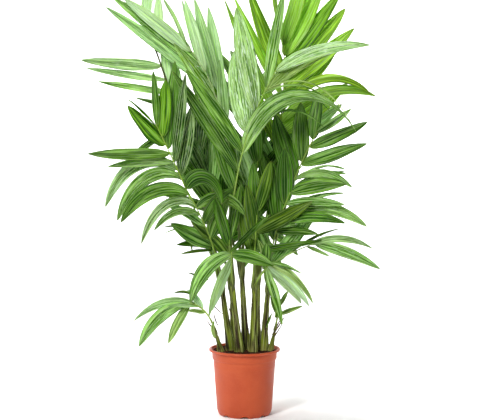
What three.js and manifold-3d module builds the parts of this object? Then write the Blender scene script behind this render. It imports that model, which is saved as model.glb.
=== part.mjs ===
// A Kentia palm in a terracotta-coloured plastic nursery pot. Millimetres, +Z up, the origin on the
// underside of the pot's floor, at its centre. -Y is the side that the plant is looked at from.
// The pot holds soil, and each stem stands in a plain hole in the soil. A stem is a bundle of leaf
// sheaths, and each frond's stalk stands in a socket in the top of its stem.
import * as THREE from "three";
import { mergeVertices } from "three/addons/utils/BufferGeometryUtils.js";
import Module from "manifold-3d";

const wasm = await Module();
wasm.setup();

// ---- Driving dimensions ----

const FIT = 0.3; // gap between a piece and the hole that it stands in

const POT = {
  height: 225,
  rim: { radius: 120, inner: 112, thickness: 8, edge: 2.5 },
  collar: { radius: 109.5, foot: 108.5, bottom: 190, slope: 1 },
  body: { top: 105, low: 92.5, lowHeight: 18 },
  foot: { radius: 84.5, bevel: 88.8, bevelHeight: 7, inner: 82, slope: 3 },
  wall: 2,
  floor: { underside: 5, thickness: 2.5, pad: 22, slope: 4 },
  notch: { count: 8, width: 26, height: 7, depth: 14 },
  drain: { count: 4, radius: 6, circle: 56, depth: 30 },
  sides: 32,
};

const SOIL = { top: 217, rings: 2, relief: 2, wave: 9, ripple: 4.5, inset: 0.6 };

// Stems: where each stands in the soil, which way and how far it leans, and its height above the soil.
const STEMS = {
  left: { x: -46, y: 4, azimuth: 184, lean: 8, height: 204, radius: 11 },
  front_left: { x: -17, y: -26, azimuth: 186, lean: 6, height: 229, radius: 11 },
  middle: { x: 6, y: 18, azimuth: 150, lean: 4, height: 249, radius: 11 },
  front: { x: 28, y: -26, azimuth: 320, lean: 2, height: 214, radius: 11 },
  right: { x: 64, y: 6, azimuth: 5, lean: 4, height: 194, radius: 11 },
  back: { x: 42, y: 50, azimuth: 80, lean: 5, height: 219, radius: 11 },
  back_left: { x: -34, y: 56, azimuth: 115, lean: 6, height: 194, radius: 11 },
  low_left: { x: -80, y: -22, azimuth: 186, lean: 14, height: 59, radius: 8 },
  low_right: { x: 88, y: -4, azimuth: 10, lean: 12, height: 69, radius: 7 },
};

const STEM = { sides: 7, rings: 3, buried: 60, taper: 0.86, flare: 1.4, swell: 0.4, cap: 6, ends: 0.8 };

// Fronds. Each grows from a seat on one side of its stem, keeps on along the stem for its rise, bends
// past a point and ends at its tip. Its flat side faces a compass direction and so many degrees up.
// Leaflets are rooted from one share of the stalk's length to another. For its left and right side,
// seen with the tip up, a row of leaflets: how many, and from the lowest to the highest their angle
// from the rachis, their length and how limply they hang. A row may have a leafed share and widths of
// its own, a lift out of the frond's plane, and a turn of its blades to the sky.
const FRONDS = {
  centre: {
    stem: "front_left", seat: 40, rise: 165, via: [-55, -75, 885], tip: [103, -112, 1161],
    face: [268, 0], leafed: [0.5, 0.97], width: [50],
    left: {
      count: 6, sweep: [26, 39, 43, 27, 30, 14], width: [54, 48, 52, 84, 72, 42],
      length: [220, 410, 338, 292, 335, 316], hang: [0.1],
    },
    right: {
      leafed: [0.62, 1], count: 5, sweep: [6, 15, 14, 12, 24], width: [66, 22, 24, 50, 52],
      length: [515, 315, 300, 320, 320], hang: [2.8, 1.8, 1.7, 0.7, 0.6],
      lift: [0], turn: [1.2, 3, 3, 0.6, 0.6],
    },
  },
  low_front_left: {
    stem: "front_left", seat: 280, rise: 40, via: [-46, -60, 520], tip: [-42, -98, 562],
    face: [270, 0], leafed: [0.7, 1], width: [50],
    left: {
      count: 3, sweep: [160, 138, 116], width: [38, 46, 58],
      length: [200, 215, 240], hang: [0.1, 0.6, 1.3],
    },
    right: { count: 1, sweep: [90], width: [64], length: [145], hang: [0.3] },
  },
  low_front_right: {
    stem: "front", seat: 300, rise: 40, via: [70, -60, 490], tip: [82, -98, 528],
    face: [270, 0], leafed: [0.7, 1], width: [34],
    left: { count: 1, sweep: [24], length: [110], hang: [0.1] },
    right: {
      count: 6, sweep: [132, 125, 116, 99, 70, 58], width: [34, 40, 42, 38, 34, 18],
      length: [150, 200, 200, 195, 210, 130], hang: [0.1, 0.3, 0.4, 0.5, 0.9, 0.3],
    },
  },
  left: {
    stem: "left", seat: 210, rise: 130, via: [-200, -95, 800], tip: [-290, -110, 985],
    face: [282, 0], leafed: [0.66, 1], width: [40],
    left: {
      leafed: [0.7, 1], count: 7, sweep: [34, 29, 60, 64, 20, 85, 15],
      width: [46, 46, 32, 42, 82, 24, 38],
      length: [312, 338, 262, 330, 195, 150, 165], hang: [2.1, 2.3, 0.25, 0, 0, 0.6, 0.5],
    },
    right: {
      leafed: [0.62, 1], count: 6, sweep: [46, 31, 28, 28, 27, 23],
      width: [46, 54, 40, 46, 56, 32],
      length: [150, 260, 310, 285, 200, 190], hang: [2.8, 0, 0, 0, 0, 0],
    },
  },
  mid_left: {
    stem: "left", seat: 330, rise: 60, via: [-105, -75, 620], tip: [-190, -135, 775],
    face: [288, 8], leafed: [0.55, 1], width: [40],
    left: {
      count: 6, sweep: [36, 30, 22, 26, 30, 29], width: [60, 50, 28, 28, 32, 48],
      length: [195, 150, 170, 225, 295, 300], hang: [0, 0, 0.3, 1.3, 2.0, 1.3],
    },
    right: {
      count: 4, sweep: [34, 40, 70, 52], width: [52, 40, 44, 54],
      length: [170, 180, 190, 178], hang: [0.5, 1.0, 1.8, 3.0],
    },
  },
  inner_front: {
    stem: "front_left", seat: 160, rise: 50, via: [-52, -45, 540], tip: [-50, -66, 600],
    face: [270, 0], leafed: [0.6, 1], width: [42],
    left: { count: 2, sweep: [38, 16], length: [150, 190], hang: [0.3, 0.1] },
    right: { count: 2, sweep: [40, 14], width: [20, 36], length: [225, 195], hang: [0.1, 0.1] },
  },
  spear: {
    stem: "front", seat: 180, rise: 60, via: [36, -55, 600], tip: [42, -62, 700],
    face: [265, 0], leafed: [0.46, 1], width: [50],
    left: { count: 3, sweep: [18, 6], length: [200, 190], hang: [0] },
    right: {
      count: 3, sweep: [77, 56, 10], width: [26, 56, 44], length: [225, 246, 190], hang: [0],
    },
  },
  mid_right: {
    stem: "right", seat: 240, rise: 90, via: [90, -60, 620], tip: [150, -95, 760],
    face: [250, 0], leafed: [0.4, 1], width: [44],
    left: { count: 4, sweep: [30, 18], width: [54, 60], length: [210, 205], hang: [0.1, 0.3] },
    right: {
      leafed: [0.62, 1], count: 5, sweep: [58, 43, 42, 56, 44], width: [28, 36, 42, 32, 56],
      length: [170, 285, 300, 215, 222], hang: [0.3, 0.6, 0.9, 0.3, 0.4],
    },
  },
  low_right: {
    stem: "front", seat: 60, rise: 60, via: [110, -60, 540], tip: [230, -100, 592],
    face: [256, 12], leafed: [0.5, 1], width: [40],
    left: {
      leafed: [0.5, 1.1], count: 3, sweep: [16, 8, 4], width: [50, 10, 26],
      length: [245, 215, 240], hang: [0, 0.4, 0.7],
    },
    right: {
      leafed: [0.86, 1.1], count: 2, sweep: [34, 30], width: [14, 42],
      length: [95, 236], hang: [0.2, 0.3],
    },
  },
  right: {
    stem: "right", seat: 0, rise: 120, via: [112, 5, 720], tip: [245, 30, 955],
    face: [256, 0], leafed: [0.56, 1], width: [50],
    left: {
      count: 5, sweep: [38, 46, 40, 26, 16], width: [66, 44, 74, 62, 54],
      length: [246, 150, 240, 205, 160], hang: [0, 2.4, 0, 0, 0],
    },
    right: {
      leafed: [0.66, 1], count: 5, sweep: [26, 42, 48, 42, 26], width: [36, 34, 60, 56, 34],
      length: [226, 245, 245, 205, 135], hang: [1.0, 1.2, 0.1, 0, 0],
    },
  },
  low_left: {
    stem: "low_left", seat: 186, rise: 50, via: [-140, -30, 395], tip: [-205, -36, 378],
    face: [270, 30], leafed: [0.5, 1], width: [30],
    left: {
      count: 3, sweep: [30, 22, 56], width: [18, 24, 34],
      length: [70, 120, 150], hang: [0.3, 0.3, 0.6],
    },
    right: {
      count: 3, sweep: [20, 4, 2], lift: [0], width: [26, 32, 46],
      length: [85, 225, 205], hang: [0.5, 1.3, 1.1],
    },
  },
  small_right: {
    stem: "low_right", seat: 10, rise: 30, via: [112, -5, 340], tip: [118, -10, 375],
    face: [275, 0], leafed: [0.5, 1], width: [16, 14],
    left: { count: 1, sweep: [30], length: [80], hang: [0.2] },
    right: { count: 2, sweep: [50, 16], length: [90, 60], hang: [0.1] },
  },
  inner_left: {
    stem: "middle", seat: 140, rise: 120, via: [-115, 20, 745], tip: [-155, 25, 890],
    face: [272, 0], leafed: [0.5, 1], width: [60],
    left: { count: 4, sweep: [12, 4], length: [255, 235], hang: [0.05, 0] },
    right: { count: 4, sweep: [30, 18], length: [250, 240], hang: [0] },
  },
  top_left: {
    stem: "middle", seat: 260, rise: 200, via: [-30, 40, 1070], tip: [-195, 50, 1242],
    face: [264, 0], leafed: [0.62, 1], width: [36],
    left: {
      count: 5, sweep: [8, 19, 26, 18, 9], width: [58, 44, 42, 48, 46], lift: [14, 4, 3, 3, 3],
      length: [230, 265, 436, 372, 305], hang: [0.1],
    },
    right: {
      leafed: [0.56, 1], count: 4, sweep: [10, 10, 17, 12], width: [46, 42, 42, 42],
      length: [220, 220, 245, 215], hang: [0.05], lift: [14, 10, 8, 4],
    },
  },
  pale_fan: {
    stem: "back_left", seat: 300, rise: 250, via: [-54, 104, 990], tip: [-85, 130, 1110],
    face: [272, 0], leafed: [0.7, 1], width: [38],
    left: { count: 3, sweep: [15, 12, 6], width: [46], length: [470, 380, 250], hang: [0.05] },
    right: { count: 1, sweep: [-3], width: [44], length: [325], hang: [0] },
  },
  top_right: {
    stem: "back", seat: 330, rise: 200, via: [150, 85, 980], tip: [132, 110, 1240],
    face: [284, 0], leafed: [0.52, 1], width: [56],
    left: {
      count: 6, sweep: [38, 34, 42, 35, 24, 12], width: [58, 60, 72, 50, 80, 74],
      length: [305, 325, 490, 370, 355, 320], hang: [0],
    },
    right: {
      leafed: [0.58, 1], count: 10, sweep: [48, 44, 30, 26, 40, 44, 40, 38, 29, 16],
      width: [60, 66, 46, 40, 62, 60, 64, 60, 74, 70],
      length: [265, 285, 345, 345, 265, 300, 300, 310, 305, 300],
      hang: [0, 0, 1.3, 1.6, 0, 0, 0, 0, 0, 0],
    },
  },
  far_left: {
    stem: "left", seat: 90, rise: 200, via: [-215, 130, 1000], tip: [-345, 175, 1340],
    face: [250, 0], leafed: [0.7, 1], width: [42],
    left: {
      leafed: [0.7, 0.86], count: 4, sweep: [62, 62, 62, 64], width: [18, 28, 30, 44],
      length: [140, 270, 290, 290], hang: [0],
    },
    right: {
      leafed: [0.62, 1], count: 4, sweep: [10, 12, 16, 20],
      length: [230, 235, 215, 190], hang: [0.05], lift: [-10],
    },
  },
  back_right: {
    stem: "right", seat: 120, rise: 130, via: [150, 150, 720], tip: [190, 330, 800],
    face: [250, 30], leafed: [0.44, 1], width: [50],
    left: { count: 5, sweep: [50, 22], length: [270, 270], hang: [0.4, 0.6] },
    right: { count: 5, sweep: [50, 22], length: [240, 250], hang: [0.6, 0.8] },
  },
  back_middle: {
    stem: "middle", seat: 20, rise: 170, via: [30, 150, 980], tip: [40, 320, 1090],
    face: [275, 30], leafed: [0.34, 1], width: [60],
    left: { count: 6, sweep: [30, 36, 20], width: [78, 64], length: [300, 310, 250], hang: [0.2, 0.4] },
    right: { count: 6, sweep: [30, 36, 20], length: [270, 290, 280], hang: [0.2, 0.4] },
  },
  back_low: {
    stem: "back", seat: 90, rise: 110, via: [50, 250, 680], tip: [60, 390, 560],
    face: [270, 60], leafed: [0.46, 1], width: [46, 40],
    left: { count: 5, sweep: [60, 20], length: [250, 250], hang: [0.6, 0.5] },
    right: { count: 5, sweep: [60, 20], length: [250, 250], hang: [0.6, 0.5] },
  },
  back_left: {
    stem: "back_left", seat: 60, rise: 150, via: [-110, 200, 800], tip: [-150, 370, 860],
    face: [290, 30], leafed: [0.46, 1], width: [52, 50],
    left: { count: 4, sweep: [50, 20], length: [240, 260], hang: [0.5, 0.7] },
    right: { count: 5, sweep: [50, 20], length: [270, 280], hang: [0.5, 0.7] },
  },
  back_low_left: {
    stem: "back_left", seat: 180, rise: 90, via: [-110, 120, 640], tip: [-130, 260, 600],
    face: [300, 60], leafed: [0.46, 1], width: [44, 40],
    left: { count: 4, sweep: [60, 20], length: [180, 220], hang: [0.7, 0.5] },
    right: { count: 4, sweep: [60, 20], length: [220, 240], hang: [0.7, 0.5] },
  },
  inner_right: {
    stem: "back", seat: 210, rise: 120, via: [34, 50, 720], tip: [46, 36, 905],
    face: [268, 0], leafed: [0.44, 1], width: [58],
    left: { count: 3, sweep: [20, 8], length: [230, 215], hang: [0] },
    right: { count: 3, sweep: [24, 10], length: [240, 220], hang: [0] },
  },
};

const STALK = { sides: 4, steps: 9, radius: 4.3, tip: 1.6, seat: 5.6, socket: 40, stout: 10 };

const LEAFLET = {
  thickness: 1.5, // at the midrib, falling to nothing at the edges
  fold: 0.1, // how far the edges lie below the midrib, as a share of the width
  stations: [0, 0.13, 0.36, 0.66, 1],
  steps: 20, // equal steps in which a leaflet's curve is walked
  rise: 0.5, // outline: how fast it widens from its root
  fall: 0.7, // outline: how fast it narrows to its tip
  lift: [10, 3], // degrees out of the plane of the frond, at the lowest and at the highest
  scatter: 4, // degrees of natural spread in how it is set
  turn: [0.3], // how far its flat side turns to the sky along its length
  tilt: 14, // degrees that each blade is turned about its midrib, like the slats of a blind
  root: 0.7, // how thick it is at its root, as a share of the rachis there
  stagger: 0.4, // how far the right row is rooted above the left one, in steps between leaflets
  uneven: { root: 0.1, size: 0.06, hang: 0.2 }, // natural spread of its place, size and sag
  sag: 1.2, // how strongly a leaflet that hangs bends down
  opening: 0.25, // share of its length in which it folds open from its root
  upright: 0.2, // below this sine to the vertical it no longer turns to the sky
  along: 0.35, // below this sine to the rachis its blade is set by the frond's plane
};

// What a leaflet that would cross a neighbour tries, in this order: a shorter blade only when no
// change of lift or sweep will clear it.
const CLEAR = {
  gap: 2.4, // half thickness of the space kept round a blade
  margin: 1.2, // and how far that space passes the blade's edges
  shares: [1, 0.86, 0.7, 0.52],
  sweeps: [0, 8, -8, 16, -16],
  lifts: [0, 7, -7, 14, -14, 22, -22, 32, -32],
};

// ---- Small tools ----

const rad = THREE.MathUtils.degToRad;
const mix = THREE.MathUtils.lerp;
const UP = new THREE.Vector3(0, 0, 1);

/** A fixed scatter from -1 to 1 for each frond, leaflet and use. */
function scatter(frond, leaflet, use) {
  const wave = Math.sin(frond * 12.9898 + leaflet * 78.233 + use * 37.719) * 43758.5453;
  return 2 * (wave - Math.floor(wave)) - 1;
}

/** The unit vector that leans so many degrees from the vertical towards a compass direction. */
function leaning(lean, azimuth) {
  const out = Math.sin(rad(lean));
  return new THREE.Vector3(out * Math.cos(rad(azimuth)), out * Math.sin(rad(azimuth)), Math.cos(rad(lean)));
}

/** The value at a share of the way along a list, in straight steps from each entry to the next. */
function within(list, share) {
  const at = Math.min(1, Math.max(0, share)) * (list.length - 1);
  const i = Math.min(list.length - 2, Math.floor(at));
  return list.length === 1 ? list[0] : mix(list[i], list[i + 1], at - i);
}

function smooth(t) {
  const x = Math.min(1, Math.max(0, t));
  return x * x * (3 - 2 * x);
}

/** A closed skin over rings of points, whose last ring may be one point. The second half of each
 *  ring splits its faces along the other diagonal, so that both sides of a thin blade split alike. */
function loft(rings) {
  const positions = [];
  const first = rings.map((ring) => {
    const start = positions.length / 3;
    ring.forEach((p) => positions.push(p.x, p.y, p.z));
    return start;
  });
  const n = rings[0].length;
  const faces = [];
  for (let i = 0; i + 1 < rings.length; i++) {
    const [a, b] = [first[i], first[i + 1]];
    for (let j = 0; j < n; j++) {
      const k = (j + 1) % n;
      if (rings[i + 1].length === 1) faces.push(a + j, a + k, b);
      else if (j < n / 2) faces.push(a + j, a + k, b + k, a + j, b + k, b + j);
      else faces.push(a + j, a + k, b + j, a + k, b + k, b + j);
    }
  }
  const cap = (start, turned) => {
    for (let j = 2; j < n; j++) {
      const [p, q, r] = [start + 1, start + (j % n), start + ((j + 1) % n)];
      faces.push(...(turned ? [p, r, q] : [p, q, r]));
    }
  };
  cap(first[0], true);
  if (rings.at(-1).length > 1) cap(first.at(-1), false);
  const geometry = new THREE.BufferGeometry();
  geometry.setAttribute("position", new THREE.Float32BufferAttribute(positions, 3));
  geometry.setIndex(faces);
  return geometry;
}

function toSolid(geometry) {
  const bare = geometry.clone();
  bare.deleteAttribute("normal");
  bare.deleteAttribute("uv");
  const merged = mergeVertices(bare, 1e-3);
  const corners = [];
  for (let i = 0; i < merged.index.count; i += 3) {
    const [a, b, c] = merged.index.array.slice(i, i + 3);
    if (a !== b && b !== c && c !== a) corners.push(a, b, c);
  }
  return new wasm.Manifold(
    new wasm.Mesh({
      numProp: 3,
      vertProperties: merged.attributes.position.array,
      triVerts: new Uint32Array(corners),
    }),
  );
}

function toGeometry(solid) {
  const mesh = solid.getMesh();
  const geometry = new THREE.BufferGeometry();
  geometry.setAttribute("position", new THREE.BufferAttribute(new Float32Array(mesh.vertProperties), 3));
  geometry.setIndex(new THREE.BufferAttribute(new Uint32Array(mesh.triVerts), 1));
  geometry.computeVertexNormals();
  return geometry;
}

function union(solids) {
  return solids.reduce((whole, solid) => whole.add(solid));
}

/** A turned shape about the vertical axis, from a profile of [radius, height] points. */
function turned(profile, sides) {
  const points = profile.map(([radius, height]) => new THREE.Vector2(radius, height));
  return new THREE.LatheGeometry(points, sides).rotateX(Math.PI / 2);
}

// ---- The pot ----

/** The pot's inside, from the middle of its floor up to the inner edge of its rim. */
function potInside(grow = 0) {
  const { wall, floor, foot, body, collar, rim, height } = POT;
  const floorTop = floor.underside + floor.thickness;
  return [
    [0, floor.thickness + grow],
    [floor.pad - floor.slope / 2, floor.thickness + grow],
    [floor.pad + floor.slope / 2, floorTop + grow],
    [foot.bevel - 2 * wall - grow, floorTop + grow],
    [body.low - wall - grow, body.lowHeight + grow],
    [body.top - wall - grow, collar.bottom - wall + grow],
    [collar.foot - wall - grow, collar.bottom + wall],
    [collar.radius - wall - grow, height - rim.thickness],
    [rim.inner - grow, height],
  ];
}

function potSolid() {
  const { height, rim, collar, body, foot, floor, notch, drain, sides } = POT;
  const outside = [
    [0, 0],
    [floor.pad, 0],
    [floor.pad + floor.slope, floor.underside],
    [foot.inner - foot.slope, floor.underside],
    [foot.inner, 0],
    [foot.radius, 0],
    [foot.bevel, foot.bevelHeight],
    [body.low, body.lowHeight],
    [body.top, collar.bottom - collar.slope],
    [collar.foot, collar.bottom + collar.slope],
    [collar.radius, height - rim.thickness - collar.slope],
    [rim.radius - rim.edge, height - rim.thickness],
    [rim.radius, height - rim.thickness + rim.edge],
    [rim.radius, height - rim.edge],
    [rim.radius - rim.edge, height],
  ];
  let pot = toSolid(turned([...outside, ...potInside().reverse()], sides));
  for (let i = 0; i < notch.count; i++) {
    const turn = (i / notch.count) * 2 * Math.PI - Math.PI / 2;
    const arch = new THREE.CylinderGeometry(notch.height, notch.height, notch.depth, 10)
      .scale(notch.width / 2 / notch.height, 1, 1)
      .translate(0, foot.inner + 1, 0)
      .rotateZ(turn - Math.PI / 2);
    pot = pot.subtract(toSolid(arch));
  }
  for (let i = 0; i < drain.count; i++) {
    const turn = ((i + 0.5) / drain.count) * 2 * Math.PI;
    const hole = new THREE.CylinderGeometry(drain.radius, drain.radius, drain.depth, 8)
      .rotateX(Math.PI / 2)
      .translate(drain.circle * Math.cos(turn), drain.circle * Math.sin(turn), 0);
    pot = pot.subtract(toSolid(hole));
  }
  return pot;
}

// ---- The soil ----

/** How far the crumbly top of the soil stands above or below its level. */
function soilRelief(x, y) {
  const wave = Math.sin(x / SOIL.wave + 1) * Math.sin(y / SOIL.wave);
  return SOIL.relief * (wave + 0.5 * Math.sin((x + y) / SOIL.ripple));
}

function soilSolid(standing) {
  const inside = potInside(FIT).filter(([, height]) => height < SOIL.top - 2 * SOIL.relief);
  const edge = POT.collar.radius - POT.wall - FIT - SOIL.inset;
  const top = [];
  for (let i = 0; i < SOIL.rings; i++) top.push([edge * (1 - i / SOIL.rings), SOIL.top]);
  const geometry = turned([...inside, ...top, [0, SOIL.top]], POT.sides);
  const position = geometry.attributes.position;
  for (let i = 0; i < position.count; i++) {
    const [x, y] = [position.getX(i), position.getY(i)];
    const onTop = Math.abs(position.getZ(i) - SOIL.top) < 0.01;
    if (onTop) position.setZ(i, SOIL.top + soilRelief(x, y));
  }
  return standing.reduce((soil, stem) => soil.subtract(stem), toSolid(geometry));
}

// ---- Stems ----

/** True for a stem that is thick enough to hold several stalks, each off its centre. */
function isStout(name) {
  return STEMS[name].radius > STALK.stout;
}

function stemAxis(stem) {
  return leaning(stem.lean, stem.azimuth);
}

function stemFoot(stem) {
  return new THREE.Vector3(stem.x, stem.y, SOIL.top);
}

/** A ring of points round a centre, square to an axis, with a flat to each side. */
function ringAt(centre, axis, radius, sides) {
  const side = new THREE.Vector3(1, 0, 0).projectOnPlane(axis).normalize();
  const other = new THREE.Vector3().crossVectors(axis, side);
  return Array.from({ length: sides }, (_, i) => {
    const turn = ((i + 0.5) / sides) * 2 * Math.PI;
    return centre
      .clone()
      .addScaledVector(side, radius * Math.cos(turn))
      .addScaledVector(other, radius * Math.sin(turn));
  });
}

/** A stem from its buried foot to the top of its sheaths, swollen at the soil. */
function stemSolid(stem, grow = 0) {
  const axis = stemAxis(stem);
  const rings = [];
  const place = (along, radius) =>
    rings.push(ringAt(stemFoot(stem).addScaledVector(axis, along), axis, radius + grow, STEM.sides));
  place(-STEM.buried - grow, stem.radius * STEM.ends);
  for (let i = 0; i < STEM.rings; i++) {
    const share = i / (STEM.rings - 1);
    const swell = mix(STEM.flare, 1, smooth(share / STEM.swell));
    place(share * stem.height, stem.radius * mix(1, STEM.taper, share) * swell);
  }
  place(stem.height + STEM.cap, stem.radius * STEM.taper * STEM.ends);
  return toSolid(loft(rings));
}

// ---- Fronds ----

/** Points and directions along a frond's stalk and rachis, from the top of its stem to its tip. */
function frondAxis(frond) {
  const stem = STEMS[frond.stem];
  const grown = stemAxis(stem);
  const seat = leaning(90, frond.seat).projectOnPlane(grown).normalize();
  const start = stemFoot(stem).addScaledVector(grown, stem.height);
  if (isStout(frond.stem)) start.addScaledVector(seat, STALK.seat);
  const onward = start.clone().addScaledVector(grown, frond.rise);
  const bend = new THREE.CubicBezierCurve3(
    start,
    onward,
    new THREE.Vector3(...frond.via),
    new THREE.Vector3(...frond.tip),
  );
  const shares = Array.from({ length: STALK.steps + 1 }, (_, i) => i / STALK.steps);
  return {
    grown,
    points: shares.map((share) => bend.getPoint(share)),
    tangents: shares.map((share) => bend.getTangent(share)),
  };
}

function stalkRadius(share) {
  return mix(STALK.radius, STALK.tip, share);
}

/** The stalk and rachis, with its foot in the stem's socket. With grow, it is the socket's own shape. */
function stalkSolid(frond, grow = 0, socketOnly = false) {
  const { points, tangents, grown } = frondAxis(frond);
  const rings = [];
  const place = (centre, axis, share) =>
    rings.push(ringAt(centre, axis, stalkRadius(share) + grow, STALK.sides));
  place(points[0].clone().addScaledVector(grown, -STALK.socket - grow), grown, 0);
  const last = socketOnly ? 2 : STALK.steps;
  for (let i = 0; i <= last; i++) place(points[i], tangents[i], i / STALK.steps);
  return toSolid(loft(rings));
}

/** The point and direction at a share of the way along a frond's axis. */
function along({ points, tangents }, share) {
  const at = Math.min(0.9999, share) * STALK.steps;
  const i = Math.floor(at);
  return {
    point: points[i].clone().lerp(points[i + 1], at - i),
    tangent: tangents[i].clone().lerp(tangents[i + 1], at - i).normalize(),
  };
}

/** Where each leaflet of a frond is rooted, on which side, and its natural size and set. The two
 *  sides are rooted half a step apart. */
function leafletPlan(frond, index) {
  const { uneven } = LEAFLET;
  const plan = [];
  for (const side of [-1, 1]) {
    const row = side < 0 ? frond.left : frond.right;
    for (let i = 0; i < row.count; i++) {
      const id = 2 * i + (side + 1) / 2;
      const rank = row.count > 1 ? i / (row.count - 1) : 0;
      const start = (side > 0 ? LEAFLET.stagger : 0) + uneven.root * scatter(index, id, 1);
      const t = (i + start) / (row.count - 0.5);
      const [from, to] = row.leafed ?? frond.leafed;
      const share = mix(from, to, THREE.MathUtils.clamp(t, 0, 1));
      plan.push({
        id,
        side,
        share,
        root: LEAFLET.root * stalkRadius(share),
        length: within(row.length, rank) * (1 + uneven.size * scatter(index, id, 2)),
        width: within(row.width ?? frond.width, rank) * (1 + uneven.size * scatter(index, id, 3)),
        sweep: within(row.sweep, rank) + LEAFLET.scatter * scatter(index, id, 4),
        lift: within(row.lift ?? LEAFLET.lift, rank) + LEAFLET.scatter * scatter(index, id, 5),
        hang: within(row.hang, rank) * (1 + uneven.hang * scatter(index, id, 6)),
        turn: within(row.turn ?? LEAFLET.turn, rank),
      });
    }
  }
  return plan.sort((a, b) => a.share - b.share);
}

/** A leaflet's curve, walked from its root in equal steps: it sags more and more towards its tip,
 *  and its flat side turns a little to the sky. */
function leafletCurve(axis, frond, leaf) {
  const { point, tangent } = along(axis, leaf.share);
  const face = leaning(90 - frond.face[1], frond.face[0]);
  const across = new THREE.Vector3().crossVectors(tangent, face).normalize();
  const above = new THREE.Vector3().crossVectors(across, tangent);
  const [sweep, lift] = [rad(leaf.sweep), rad(leaf.lift)];
  const direction = tangent
    .clone()
    .multiplyScalar(Math.cos(sweep))
    .addScaledVector(across, leaf.side * Math.sin(sweep) * Math.cos(lift))
    .addScaledVector(above, Math.sin(lift))
    .normalize();
  let blade = tangent.clone().multiplyScalar(leaf.side).projectOnPlane(direction);
  if (blade.length() < LEAFLET.along) blade.sub(across);
  blade = blade.projectOnPlane(direction).normalize();
  blade.applyAxisAngle(direction, -leaf.side * rad(LEAFLET.tilt));
  const centre = point.clone().addScaledVector(across, 0.5 * leaf.side * leaf.root);
  const curve = [];
  const step = leaf.length / LEAFLET.steps;
  for (let i = 0; i <= LEAFLET.steps; i++) {
    blade = blade.projectOnPlane(direction).normalize();
    const level = new THREE.Vector3().crossVectors(UP, direction);
    if (level.length() > LEAFLET.upright) {
      level.normalize().multiplyScalar(level.dot(blade) < 0 ? -1 : 1);
      blade = blade.lerp(level, leaf.turn / LEAFLET.steps).projectOnPlane(direction).normalize();
    }
    curve.push({
      centre: centre.clone(),
      blade: blade.clone(),
      normal: new THREE.Vector3().crossVectors(direction, blade),
    });
    centre.addScaledVector(direction, step);
    direction.addScaledVector(UP, (-LEAFLET.sag * leaf.hang) / LEAFLET.steps).normalize();
  }
  return curve;
}

/** Half a leaflet's width at a share of its length: it leaves the rachis narrow. */
function halfWidth(leaf, u) {
  const { rise, fall } = LEAFLET;
  const widest = rise / (rise + fall);
  const share = (u / widest) ** rise * ((1 - u) / (1 - widest)) ** fall;
  return Math.max(leaf.root * (1 - u), (leaf.width / 2) * share);
}

function curveAt(curve, u) {
  const at = u * LEAFLET.steps;
  const i = Math.min(LEAFLET.steps - 1, Math.floor(at));
  const [a, b] = [curve[i], curve[i + 1]];
  const blend = (key) => a[key].clone().lerp(b[key], at - i);
  return { centre: blend("centre"), blade: blend("blade").normalize(), normal: blend("normal").normalize() };
}

/** The rings of a blade with its midrib raised and its edges sharp. */
function bladeRings(curve, leaf) {
  return LEAFLET.stations.map((u) => {
    const { centre, blade, normal } = curveAt(curve, u);
    if (u === 1) return [centre];
    const half = halfWidth(leaf, u);
    const drop = -2 * half * LEAFLET.fold * smooth(u / LEAFLET.opening - 0.5);
    const at = (across, up) => centre.clone().addScaledVector(blade, across).addScaledVector(normal, up);
    const rib = LEAFLET.thickness / 2;
    return [at(half, drop), at(0, rib), at(-half, drop), at(0, -rib)];
  });
}

/** The space to be kept clear round a blade, from a share of its length onwards. */
function clearRings(curve, leaf, from) {
  return LEAFLET.stations.map((station) => {
    const u = mix(from, 1, station);
    const { centre, blade, normal } = curveAt(curve, u);
    const half = halfWidth(leaf, u) + CLEAR.margin;
    const drop = -2 * half * LEAFLET.fold * smooth(u / LEAFLET.opening - 0.5);
    const at = (across, up) => centre.clone().addScaledVector(blade, across).addScaledVector(normal, up);
    const [low, high] = [drop - CLEAR.gap, drop + CLEAR.gap];
    const over = [at(half, high), at(0, CLEAR.gap), at(-half, high)];
    const under = [at(-half, low), at(0, -CLEAR.gap), at(half, low)];
    return [...over, ...under];
  });
}

function boxOf(geometry) {
  geometry.computeBoundingBox();
  return geometry.boundingBox;
}

/** True if a shape meets nothing in a list of placed shapes. */
function isClear(geometry, placed) {
  const box = boxOf(geometry);
  const near = placed.filter((other) => other.box.intersectsBox(box));
  if (!near.length) return true;
  const solid = toSolid(geometry);
  return near.every((other) => solid.intersect(other.solid).isEmpty());
}

/** The first set of a leaflet that clears everything placed, or null if none does. */
function placeLeaflet(axis, frond, leaf, [stalk, ...own], others) {
  for (const share of CLEAR.shares) {
    for (const sweep of CLEAR.sweeps) {
      for (const lift of CLEAR.lifts) {
        const tried = {
          ...leaf,
          length: leaf.length * share,
          width: leaf.width * Math.sqrt(share),
          lift: leaf.lift + lift,
          sweep: leaf.sweep + sweep,
        };
        const curve = leafletCurve(axis, frond, tried);
        if (!isClear(loft(clearRings(curve, tried, 0)), others)) continue;
        if (!isClear(loft(clearRings(curve, tried, 0.1)), own)) continue;
        return loft(bladeRings(curve, tried));
      }
    }
  }
  return null;
}

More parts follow.
